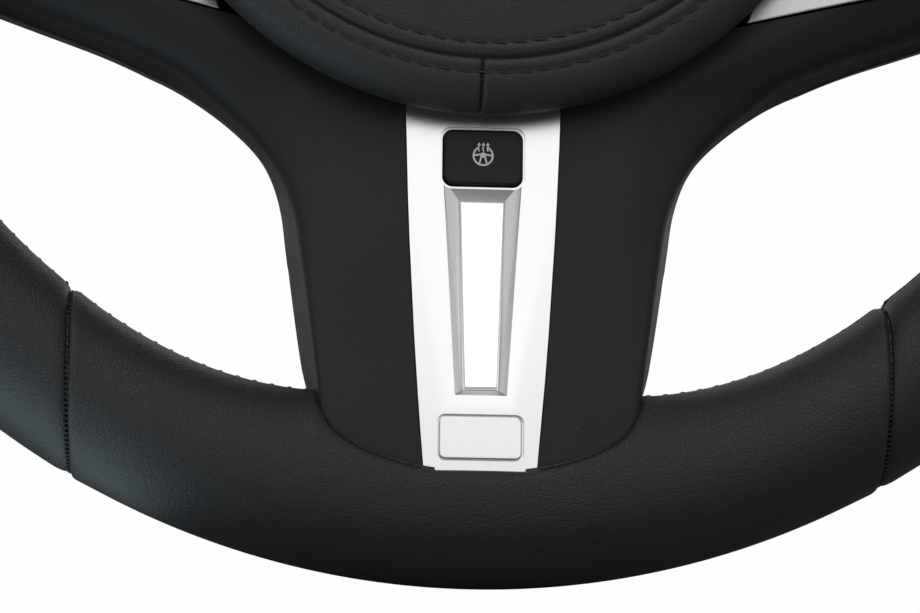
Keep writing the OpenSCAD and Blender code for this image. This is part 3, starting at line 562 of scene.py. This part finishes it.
def makeLeatherPanel(name, start, sweep, steps, keep, opening=False):
    bm = spinRim(start, sweep, steps)
    edge = -leather["seamOverlap"]
    if keep == "middle":
        for side in (-1, 1):
            cutAcross(bm, (side * (wheel["seamAt"] - edge), 0, 0), (side, 0, 0), away=True)
        addSeamLoops(bm, (-1, 1))
    else:
        cutAcross(bm, (keep * (wheel["seamAt"] + edge), 0, 0), (-keep, 0, 0), away=True)
        addSeamLoops(bm, (keep,))
    faceOut(bm)
    if opening:
        near = [f for f in bm.faces
                if abs(beyondEdge(f.calc_center_median().x, f.calc_center_median().y)) < 4.2]
        bmesh.ops.subdivide_edges(bm, edges=edgesOf(near), cuts=2, use_grid_fill=True)
        bmesh.ops.triangulate(bm, faces=[f for f in bm.faces if len(f.verts) > 4])
        bm = carve(bm, [spokePrism(leather["openingGap"])], wall=leather["wall"])
    else:
        bm = carve(bm, [], wall=leather["wall"])
    shapeRim(bm, opening)
    makePiece(name, bm, "black_leather", [name], sharp=50)


def spokePrism(gap):  # the lower spoke's outline as a solid right through the rim
    bm = bmesh.new()
    rows = 120
    low, high = spokes["tipCut"] - wheel["legEnd"], -112
    bmesh.ops.create_grid(bm, x_segments=1, y_segments=rows, size=1)
    for vert in bm.verts:
        share = (vert.co.y + 1) / 2
        y = low + (high - low) * share ** 2.2
        vert.co = (vert.co.x * (faceHalf(y) + gap), y - (gap if share < 1e-6 else 0), -20)
    pullUp(bm, 140)
    bmesh.ops.recalc_face_normals(bm, faces=bm.faces)
    return bm


def makeRimStitches():
    bm = bmesh.new()
    long, wide, high = leather["innerStitch"]
    radius = wheel["rimInside"]
    count = round(2 * pi * radius / leather["innerPitch"])
    places = []
    for i in range(count):
        a = 2 * pi * i / count
        x, y = radius * cos(a), radius * sin(a)
        if y < -130 and beyondEdge(x, y) < 1.2:
            continue
        behindArm = abs(y + 14) < 16 and abs(x) > 140
        if behindArm or abs(abs(x) - wheel["seamAt"]) < 0.8:
            continue
        swell = flare(x, y)
        reach = radius - swell + leather["innerSink"]
        at = Vector((cos(a) * reach, sin(a) * reach, wheel["rimHeight"]))
        slant = Vector((-sin(a) * leather["innerSlant"], cos(a) * leather["innerSlant"], 1))
        places.append(framed(at, slant, (-cos(a), -sin(a), 0)))
    addStitches(bm, places, long, wide, high)
    makePiece("rim_inner_stitches", bm, "thread", sharp=60)


def makeSeamStitches():
    bm = bmesh.new()
    long, wide, high = leather["seamStitch"]
    places = []
    for side in (-1, 1):
        for up in (-1, 1):
            length = 0.0
            last = None
            for step in range(0, 3600):
                a = 2 * pi * step / 3600
                r = wheel["ringMiddle"] + (wheel["halfWide"] - leather["seamSink"]) * cos(a)
                z = wheel["rimHeight"] + (wheel["halfDeep"] - leather["seamSink"]) * sin(a)
                x = side * wheel["seamAt"]
                y = up * sqrt(r * r - x * x)
                at = Vector((x, y, z))
                if last is not None:
                    length += (at - last).length
                if last is None or length >= leather["seamPitch"]:
                    length = 0.0
                    places.append(framed(at, (1, 0, 0), rimNormal(at)))
                last = at
    addStitches(bm, places, long, wide, high)
    makePiece("rim_seam_stitches", bm, "thread", sharp=60)


makeLeatherPanel("leather_bottom", -130, 80, 130, "middle", opening=True)
makeLeatherPanel("leather_top", 50, 80, 130, "middle")
makeLeatherPanel("leather_right", -61, 122, 190, 1)
makeLeatherPanel("leather_left", 119, 122, 190, -1)
makeRimStitches()
makeSeamStitches()
print("rim made")


# Front cover of the spokes: one smooth skin with a soft ridge, then its openings

def makeSpokeCover():
    s = spokes
    low = s["tipCut"] - wheel["legEnd"]
    ups = [0, 0.12, 0.35, 0.7, 1.2, 1.9, 2.8, 4, 5.4, 7, 9]
    ups += [9 + 1.6 * (i + 1) for i in range(27)]
    ups += [ups[-1] + 1.0 * (i + 1) for i in range(int(s["armTop"] - low - ups[-1]))]
    wallSteps = [0, 0.5, 0.86, 1]
    slopeSteps = [1, 0.985, 0.965, 0.94, 0.9, 0.85, 0.78, 0.7, 0.6, 0.5, 0.4, 0.3, 0.22, 0.16, 0.11,
                  0.07, 0.035, 0]
    flatSteps = [0.97, 0.94, 0.9, 0.84, 0.76, 0.66, 0.54, 0.42, 0.3, 0.2, 0.1]
    columns = len(wallSteps) + len(slopeSteps) - 1 + len(flatSteps)
    bm = bmesh.new()
    bmesh.ops.create_grid(bm, x_segments=2 * columns, y_segments=len(ups) - 1, size=1)
    for vert in bm.verts:
        column = round((vert.co.x + 1) * columns) - columns
        row = round((vert.co.y + 1) / 2 * (len(ups) - 1))
        side = -1 if column < 0 else 1
        y = low + ups[row]
        half = faceHalf(y)
        ridge = ridgeHalf(y, half)
        drop = s["drop"] * (half - ridge) * smooth(y, -140, -100)
        place = columns - abs(column)
        t = 0.0
        if place < len(wallSteps):
            x, t = half, 1.0
        elif place < len(wallSteps) + len(slopeSteps) - 1:
            t = slopeSteps[place - len(wallSteps) + 1]
            x = ridge + t * (half - ridge)
        else:
            index = place - (len(wallSteps) + len(slopeSteps) - 1)
            x = ridge * flatSteps[index] if index < len(flatSteps) else 0
            t = (x - ridge) / (half - ridge)
        fold = (t + sqrt(t * t + s["foldSoftness"])) / 2
        z = dish(x, y, wheel["faceHeight"]) - drop * (0.8 * fold + 0.6 * max(0, t) ** 6)
        inside = max(0, -beyondEdge(x, y))
        if inside < s["edgeRadius"]:
            z -= s["edgeRadius"] - sqrt(s["edgeRadius"] ** 2 - (s["edgeRadius"] - inside) ** 2)
        if place < len(wallSteps):
            foot = dish(half, y, s["joinHeight"])
            z = foot + (z - foot) * wallSteps[place]
            x += (footHalf(y) - half) * (1 - wallSteps[place])
        vert.co = (side * x, y, z)
    for side in (-1, 1):
        cutAcross(bm, (0, s["armCutLow"], 0), (-side * s["armCutRise"], 1, 0),
                  [f for f in bm.faces if side * f.calc_center_median().x > 0.01], away=True)
    bmesh.ops.recalc_face_normals(bm, faces=bm.faces)
    if min(bm.faces, key=lambda f: (f.calc_center_median() - Vector((8, -120, 55))).length).normal.z < 0:
        bmesh.ops.reverse_faces(bm, faces=bm.faces)
    cutters = [cylinder(s["bagHole"], 0, 120, (0, wheel["bagUp"])), plateRecess(), buttonOpening()]
    bm = carve(bm, cutters, wall=s["wall"], even=False)
    makePiece("spoke_cover_skin", bm, "soft_black_plastic", ["spoke_cover"], sharp=32)


# Rear cover: a flat-backed shell behind the spokes and a bowl behind the hub

rear = {
    "bowlRadius": 88, "bowlHeight": 1.5, "front": 33.6, "hole": 24, "wall": 2.5,
    "inletWide": 26, "inletHigh": 14, "inletUp": 51,
    "screwHole": 4, "screwCircle": 58, "screwAngles": (30, 150, 270),
}


def makeRearCover():
    s = spokes
    low = s["tipCut"] - wheel["legEnd"] + 1.5
    ups = [0, 0.3, 0.8, 1.6, 2.8, 4.2, 6, 8] + [8 + 1.2 * (i + 1) for i in range(140)]
    ups = [up for up in ups if low + up < s["armTop"]]
    steps = [(0, 1), (0, 0.8), (0, 0.55), (0, 0.3), (0.3, 0.12), (0.7, 0.04), (1, 0)]
    inwards = [0.94, 0.85, 0.7, 0.5, 0.25, 0]
    columns = len(steps) + len(inwards) - 1
    bm = bmesh.new()
    bmesh.ops.create_grid(bm, x_segments=2 * columns, y_segments=len(ups) - 1, size=1)
    for vert in bm.verts:
        column = round((vert.co.x + 1) * columns) - columns
        y = low + ups[round((vert.co.y + 1) / 2 * (len(ups) - 1))]
        place = columns - abs(column)
        half = footHalf(y)
        tall = s["joinHeight"] - s["rearHeight"]
        into, rise = steps[place] if place < len(steps) else (1, 0)
        x = (half - s["rearRound"] * into) * (1 if place < len(steps) else inwards[place - len(steps)])
        vert.co = (x if column >= 0 else -x, y, dish(half, y, s["rearHeight"] + tall * rise - 0.15))
    bmesh.ops.recalc_face_normals(bm, faces=bm.faces)
    if min(bm.faces, key=lambda f: f.calc_center_median().z).normal.z > 0:
        bmesh.ops.reverse_faces(bm, faces=bm.faces)
    bm = carve(bm, [cylinder(rear["bowlRadius"] - 3, -20, 120)], wall=rear["wall"])
    makePiece("rear_cover_spokes", bm, "soft_black_plastic", (), sharp=35)

    bowl = bmesh.new()
    r, z = rear["bowlRadius"], rear["bowlHeight"]
    line = [(rear["hole"], z), (r - 30, z + 0.6), (r - 20, z + 3.6), (r - 12, z + 8), (r - 6, z + 13.2),
            (r - 2.6, z + 19), (r - 0.8, z + 26), (r, rear["front"])]
    line += [(a - rear["wall"], b + (rear["wall"] if b < 20 else 0)) for a, b in reversed(line)][:-1]
    line.append((rear["hole"], z + rear["wall"]))
    chain = [bowl.verts.new((a, 0, b)) for a, b in line]
    for a, b in zip(chain, chain[1:] + chain[:1]):
        bowl.edges.new((a, b))
    bmesh.ops.spin(bowl, geom=bowl.verts[:] + bowl.edges[:], cent=(0, 0, 0), axis=(0, 0, 1), dvec=(0, 0, 0),
                   angle=2 * pi, steps=144, use_merge=True, use_duplicate=False)
    bmesh.ops.remove_doubles(bowl, verts=bowl.verts, dist=0.001)
    bmesh.ops.recalc_face_normals(bowl, faces=bowl.faces)
    cutters = []
    for a in rear["screwAngles"]:
        at = (rear["screwCircle"] * cos(radians(a)), rear["screwCircle"] * sin(radians(a)))
        cutters.append(cylinder(rear["screwHole"], -5, 30, at, 48))
    inlet = bmesh.new()
    bmesh.ops.create_cube(inlet, size=1)
    bmesh.ops.scale(inlet, vec=(rear["inletWide"], rear["inletHigh"], 40), verts=inlet.verts)
    bmesh.ops.translate(inlet, vec=(0, rear["inletUp"], 0), verts=inlet.verts)
    bowl = carve(bowl, cutters + [inlet])
    makePiece("rear_cover_bowl", bowl, "soft_black_plastic", ["rear_cover"], sharp=30)


# Recess for the silver plate and opening for the button, in the front cover

plate = {
    "x0": 17.5, "x1": 15.6, "x2": 12.4, "bed": 2.6, "buttonDown": 9.4,
    "buttonWide": 17.6, "buttonHigh": 12.6, "gap": 0.35,
}


def plateHalf(d):
    t = d / legLength
    return plate["x0"] * (1 - t) * (1 - 2 * t) + 4 * plate["x1"] * t * (1 - t) + plate["x2"] * t * (2 * t - 1)


def plateRecess():
    bm = bmesh.new()
    bmesh.ops.create_grid(bm, x_segments=1, y_segments=24, size=1)
    for vert in bm.verts:
        d = -3 + (legLength + 5.4) * (1 - vert.co.y) / 2
        vert.co = (vert.co.x * (plateHalf(d) + 0.25), -d, -plate["bed"])
    pullUp(bm, 60)
    bmesh.ops.recalc_face_normals(bm, faces=bm.faces)
    bm.transform(onLeg)
    return bm


def buttonOpening():
    bm = bmesh.new()
    bmesh.ops.create_cube(bm, size=1)
    wide, high = (plate[size] + 2 * plate["gap"] for size in ("buttonWide", "buttonHigh"))
    bmesh.ops.scale(bm, vec=(wide, high, 20), verts=bm.verts)
    bmesh.ops.translate(bm, vec=(0, -plate["buttonDown"], -5), verts=bm.verts)
    bm.transform(onLeg)
    return bm


makeSpokeCover()
makeRearCover()
print("spoke covers made")


# Airbag cover: stitched leather over a round lid

bag = {
    "edgeRadius": 9, "edgeHeight": 54, "crown": 4.7, "skirt": 81.8, "skirtHeight": 38, "wall": 3,
    "groove": 71.9, "grooveDepth": 0.95, "grooveWidth": 0.42, "rows": (75.2, 68.6), "pitch": 4.5,
    "stitch": (3.9, 0.6, 0.5), "skew": 0.12, "steps": 240,
    "seamX": -1.3, "seamDepth": 0.75, "seamWidth": 0.36, "middle": 1.2,
}


def bagSurface(r):  # pulls the leather in along the sewn lines
    off = -bag["grooveDepth"] * exp(-((r - bag["groove"]) / bag["grooveWidth"]) ** 2)
    for row in bag["rows"]:
        off -= 0.16 * exp(-((r - row) / 0.8) ** 2)
    off += 0.2 * exp(-((abs(r - bag["groove"]) - 1.9) / 0.9) ** 2)
    return off


def makeAirbagCover():
    centre = wheel["bagRadius"] - bag["edgeRadius"]
    ball = (centre ** 2 + bag["crown"] ** 2) / (2 * bag["crown"])
    crown = bag["edgeHeight"] + bag["edgeRadius"] + bag["crown"]
    outer = [(bag["skirt"], z) for z in (bag["skirtHeight"], 42, 46, 49, 50.4)]
    outer += [(82.3, 51.6), (83.3, 52.6), (83.85, 53.4)]
    for i in range(1, 18):
        a = radians(90 * i / 18)
        outer.append((centre + bag["edgeRadius"] * cos(a), bag["edgeHeight"] + bag["edgeRadius"] * sin(a)))
    radii = [centre - 0.33 * i for i in range(30)] + [65 - 2.2 * i for i in range(29)] + [bag["middle"]]
    outer += [(r, crown - (ball - sqrt(ball * ball - r * r))) for r in radii]
    inner = [(bag["middle"], crown - bag["wall"]), (centre - 8, 60.2), (78.4, 55), (78.6, bag["skirtHeight"])]
    bm = bmesh.new()
    chain = [bm.verts.new((r, 0, z)) for r, z in outer + inner]
    for a, b in zip(chain, chain[1:] + chain[:1]):
        bm.edges.new((a, b))
    for vert in bm.verts:
        r, z = vert.co.x, vert.co.z
        if z > 62 and r > 62:
            vert.co.z += bagSurface(r)
    bmesh.ops.rotate(bm, cent=(0, 0, 0), matrix=Matrix.Rotation(radians(-90), 3, "Z"), verts=bm.verts)
    bmesh.ops.spin(bm, geom=bm.edges[:], cent=(0, 0, 0), axis=(0, 0, 1), dvec=(0, 0, 0), angle=2 * pi,
                   steps=bag["steps"], use_merge=True, use_duplicate=False)
    bmesh.ops.remove_doubles(bm, verts=bm.verts, dist=0.001)
    bmesh.ops.holes_fill(bm, edges=[e for e in bm.edges if e.is_boundary], sides=0)
    for off in (-1.6, -1.0, -0.6, -0.3, 0, 0.3, 0.6, 1.0, 1.6):
        low = [f for f in bm.faces if f.calc_center_median().y < -66 and abs(f.calc_center_median().x) < 5]
        cutAcross(bm, (off + bag["seamX"], 0, 0), (1, 0, 0), low)
    for vert in bm.verts:
        co = vert.co
        r = hypot(co.x, co.y)
        side = co.x - bag["seamX"]
        if co.y < -66 and abs(side) < 3 and r > bag["groove"] - 0.3 and co.z > 49:
            a = atan2(max(0, co.z - bag["edgeHeight"]), max(0.01, r - centre))
            out = Vector((co.x / r * cos(a), co.y / r * cos(a), sin(a)))
            off = -bag["seamDepth"] * exp(-(side / bag["seamWidth"]) ** 2)
            off += 0.12 * exp(-((abs(side) - 1.4) / 0.7) ** 2)
            vert.co = co + out * off * smooth(r, bag["groove"] - 0.3, bag["groove"] + 0.5)
    bmesh.ops.translate(bm, vec=(0, wheel["bagUp"], 0), verts=bm.verts)
    makePiece("airbag_leather", bm, "bag_leather_painted_light", ["airbag_cover"], "airbag_module",
              sharp=50)
    threads = bmesh.new()
    places = []
    long, wide, high = bag["stitch"]
    for row in bag["rows"]:
        count = round(2 * pi * row / bag["pitch"])
        if row < centre:
            z, lean = crown - (ball - sqrt(ball * ball - row * row)), row / ball
        else:
            past = row - centre
            z = bag["edgeHeight"] + sqrt(bag["edgeRadius"] ** 2 - past ** 2)
            lean = past / bag["edgeRadius"]
        for i in range(count):
            a = 2 * pi * (i + 0.5) / count
            at = (row * cos(a), row * sin(a) + wheel["bagUp"], z + bagSurface(row) + 0.16)
            out = (cos(a) * lean, sin(a) * lean, 1)
            along = (-sin(a) + bag["skew"] * cos(a), cos(a) + bag["skew"] * sin(a), 0)
            places.append(framed(at, along, out))
    addStitches(threads, places, long, wide, high)
    makePiece("airbag_stitches", threads, "thread", (), "airbag_module", sharp=60)


makeAirbagCover()
print("airbag cover made")


# Pieces whose shape is the CAD's own, with rounded edges

rounded = {
    "trim_plate": ("satin_silver", "wheel", 0.28),
    "trim_inlay": ("bright_silver", "wheel", 0.2),
    "blank_pad": ("satin_silver", "wheel", 0.3),
    "heating_button": ("button_black", "heating_button", 0.5),
    "left_trim": ("satin_silver", "wheel", 0.4),
    "right_trim": ("satin_silver", "wheel", 0.4),
    "left_switch_panel": ("gloss_black", "wheel", 0.35),
    "right_switch_panel": ("gloss_black", "wheel", 0.35),
    "left_upper_key": ("button_black", "left_upper_key", 0.5),
    "left_lower_key": ("button_black", "left_lower_key", 0.5),
    "left_round_key": ("button_black", "left_round_key", 0.5),
    "right_upper_key": ("button_black", "right_upper_key", 0.5),
    "right_lower_key": ("button_black", "right_lower_key", 0.5),
    "right_round_key": ("button_black", "right_round_key", 0.5),
    "airbag_tray": ("steel_sheet", "airbag_module", 0.3),
    "cover_screws": ("bright_steel", "wheel", 0.3),
    "socket": ("inner_plastic", "wheel", 0.3),
    "damper_mass": ("die_cast", "wheel", 0.5),
}
for node, (finish, body, width) in rounded.items():
    sharp = 12 if finish in ("satin_silver", "bright_silver", "button_black") else 30
    makePiece(node + "_soft", softCopy(node, width), finish, [node], body, sharp=sharp)
print("rounded pieces made")

# Pictogram of the heated rim, printed on the button

pictogram = {
    "up": -9.1, "height": 1.02, "thick": 0.03, "radius": 2.17, "line": 0.4,
    "openAt": (118, 304), "arrows": (-1.0, 0, 1.0),
}


def addBar(bm, x, y, wide, high, turn=0.0):
    place = Matrix.Translation((x, y, 0)) @ Matrix.Rotation(turn, 4, "Z")
    place = place @ Matrix.Diagonal((wide / 2, high / 2, 1, 1))
    bmesh.ops.create_grid(bm, x_segments=1, y_segments=1, size=1, matrix=place)


def makePictogram():
    p = pictogram
    bm = bmesh.new()
    start, sweep = radians(p["openAt"][0]), radians(p["openAt"][1])
    ends = [bm.verts.new((r * cos(start), r * sin(start), 0))
            for r in (p["radius"] - p["line"] / 2, p["radius"] + p["line"] / 2)]
    bmesh.ops.spin(bm, geom=ends + [bm.edges.new(ends)], cent=(0, 0, 0), axis=(0, 0, 1), dvec=(0, 0, 0),
                   angle=sweep, steps=48, use_duplicate=False)
    for side in (-1, 1):  # arched bar and the two sides of the stem
        addBar(bm, side * 1.1, 0.22, 1.85, 0.42, -side * 0.16)
        addBar(bm, side * 0.62, -0.95, 0.36, 2.1, side * 0.24)
    bmesh.ops.create_circle(bm, cap_ends=True, segments=20, radius=0.62,
                            matrix=Matrix.Translation((0, 0.15, 0)))
    for x in p["arrows"]:
        addBar(bm, x, 1.35, 0.3, 0.75, 0.35)
        addBar(bm, x, 1.95, 0.3, 0.75, -0.35)
        bmesh.ops.create_circle(bm, cap_ends=True, segments=3, radius=0.5,
                                matrix=Matrix.Translation((x + 0.05, 2.62, 0)))
    pullUp(bm, p["thick"])
    bmesh.ops.translate(bm, vec=(0, p["up"], p["height"]), verts=bm.verts)
    bm.transform(onLeg)
    makePiece("button_pictogram", bm, "pictogram", (), "heating_button")


makePictogram()

# CAD nodes that keep their own mesh

kept = {
    "armature": "die_cast", "rim_foam": "foam", "heating_mat": "heating_mat",
    "switch_housing": "inner_plastic", "airbag_cushion": "cushion_cloth", "inflator": "steel_sheet",
    "guide_pins": "bright_steel", "horn_springs": "bright_steel", "horn_contacts": "contact_brass",
    "left_key_board": "board_green", "right_key_board": "board_green", "damper_bushes": "black_rubber",
}
for node, finish in kept.items():
    mesh = nodes[node].data
    mesh.materials.clear()
    mesh.materials.append(materials[finish])
print("inner pieces finished")

# Floor, background, lights and camera

stage = {
    "floorAt": -0.186, "wallAt": 6, "size": 36, "selfLit": 0.985,
    "front": 0.32, "around": 0.45, "floorTone": 0.32, "wallTone": 0.5, "white": 0.92,
}


def makeBackdrop(name, place, rays, tone):  # white for the rays named, a plain tone for the others
    material = bpy.data.materials.new(name)
    material.use_nodes = True
    tree = material.node_tree
    path = put(tree, "ShaderNodeLightPath").outputs
    seen = path[rays[0]]
    for ray in rays[1:]:
        seen = reckon(tree, "MAXIMUM", seen, path[ray])
    shader = tree.nodes["Principled BSDF"]
    shade = stretch(tree, seen, 0.0, 1.0, tone, stage["white"])
    tree.links.new(shade, shader.inputs["Base Color"])
    shader.inputs["Roughness"].default_value = 0.9
    shader.inputs["Specular IOR Level"].default_value = 0.1
    glow = put(tree, "ShaderNodeEmission", {"Color": (1, 1, 1, 1), "Strength": 1.0})
    mix = put(tree, "ShaderNodeMixShader", {
        0: reckon(tree, "MULTIPLY", seen, stage["selfLit"]), 1: shader.outputs[0], 2: glow.outputs[0]})
    tree.links.new(mix.outputs[0], tree.nodes["Material Output"].inputs["Surface"])
    bm = bmesh.new()
    bmesh.ops.create_grid(bm, x_segments=1, y_segments=1, size=stage["size"] / 2, matrix=place)
    mesh = bpy.data.meshes.new(name)
    bm.to_mesh(mesh)
    bm.free()
    mesh.materials.append(material)
    made = bpy.data.objects.new(name, mesh)
    scene.collection.objects.link(made)


def makeStage():
    half = stage["size"] / 2
    makeBackdrop("floor", Matrix.Translation((0, stage["wallAt"] - half, stage["floorAt"])),
                 ["Is Camera Ray"], stage["floorTone"])
    makeBackdrop("backdrop", Matrix.Translation((0, stage["wallAt"], stage["floorAt"] + half))
                 @ Matrix.Rotation(radians(90), 4, "X"), ["Is Camera Ray", "Is Glossy Ray"],
                 stage["wallTone"])
    world = bpy.data.worlds.new("studio")
    scene.world = world
    world.use_nodes = True
    tree = world.node_tree
    path = put(tree, "ShaderNodeLightPath").outputs
    back = tree.nodes["Background"]
    back.inputs["Color"].default_value = (1, 1, 1, 1)
    dim = stretch(tree, path["Is Glossy Ray"], 0.0, 1.0, stage["around"], stage["front"])
    tree.links.new(stretch(tree, path["Is Camera Ray"], 0.0, 1.0, dim, 1.0), back.inputs["Strength"])


lights = {
    "key": dict(at=(-0.15, -1.1, 0.8), aim=(0, 0, -0.1), size=(1.6, 1.5), power=8.3, colour=(1, 1, 1)),
    "left": dict(at=(-1.3, -0.7, 0.15), aim=(0, 0, -0.1), size=(0.8, 0.8), power=0.95, colour=(1, 1, 1)),
    "right": dict(at=(1.3, -0.7, 0.15), aim=(0, 0, -0.1), size=(0.8, 0.8), power=0.95, colour=(1, 1, 1)),
    "top": dict(at=(0, 0.1, 1.1), aim=(0, 0, -0.1), size=(1.0, 1.0), power=2.0, colour=(1, 1, 1)),
    "cool": dict(at=(-0.215, -0.11, -0.184), aim=(-0.215, -0.11, 1), size=(0.27, 0.13), power=0.2,
                 colour=(0.68, 0.89, 1.0)),
}


def makeLights():
    for name, made in lights.items():
        data = bpy.data.lights.new(name, "AREA")
        data.shape, data.energy, data.color = "RECTANGLE", made["power"], made["colour"]
        data.size, data.size_y = made["size"]
        lamp = bpy.data.objects.new(name, data)
        scene.collection.objects.link(lamp)
        lamp.visible_camera = False
        lamp.location = made["at"]
        lamp.rotation_mode = "QUATERNION"
        lamp.rotation_quaternion = (Vector(made["aim"]) - Vector(made["at"])).to_track_quat("-Z", "Y")


view = {"at": (-0.0439, -0.700, -0.1386), "lens": 113.1, "turn": -3.469, "up": 1.512, "roll": 1.181}


def makeCamera():
    data = bpy.data.cameras.new("camera")
    data.lens, data.sensor_width = view["lens"], 36
    camera = bpy.data.objects.new("camera", data)
    scene.collection.objects.link(camera)
    camera.matrix_world = (
        Matrix.Translation(view["at"]) @ Matrix.Rotation(radians(view["turn"]), 4, "Z")
        @ Matrix.Rotation(radians(90 + view["up"]), 4, "X") @ Matrix.Rotation(radians(view["roll"]), 4, "Z"))
    scene.camera = camera


makeStage()
makeLights()
makeCamera()
scene.view_settings.view_transform = "Standard"
print("stage made")
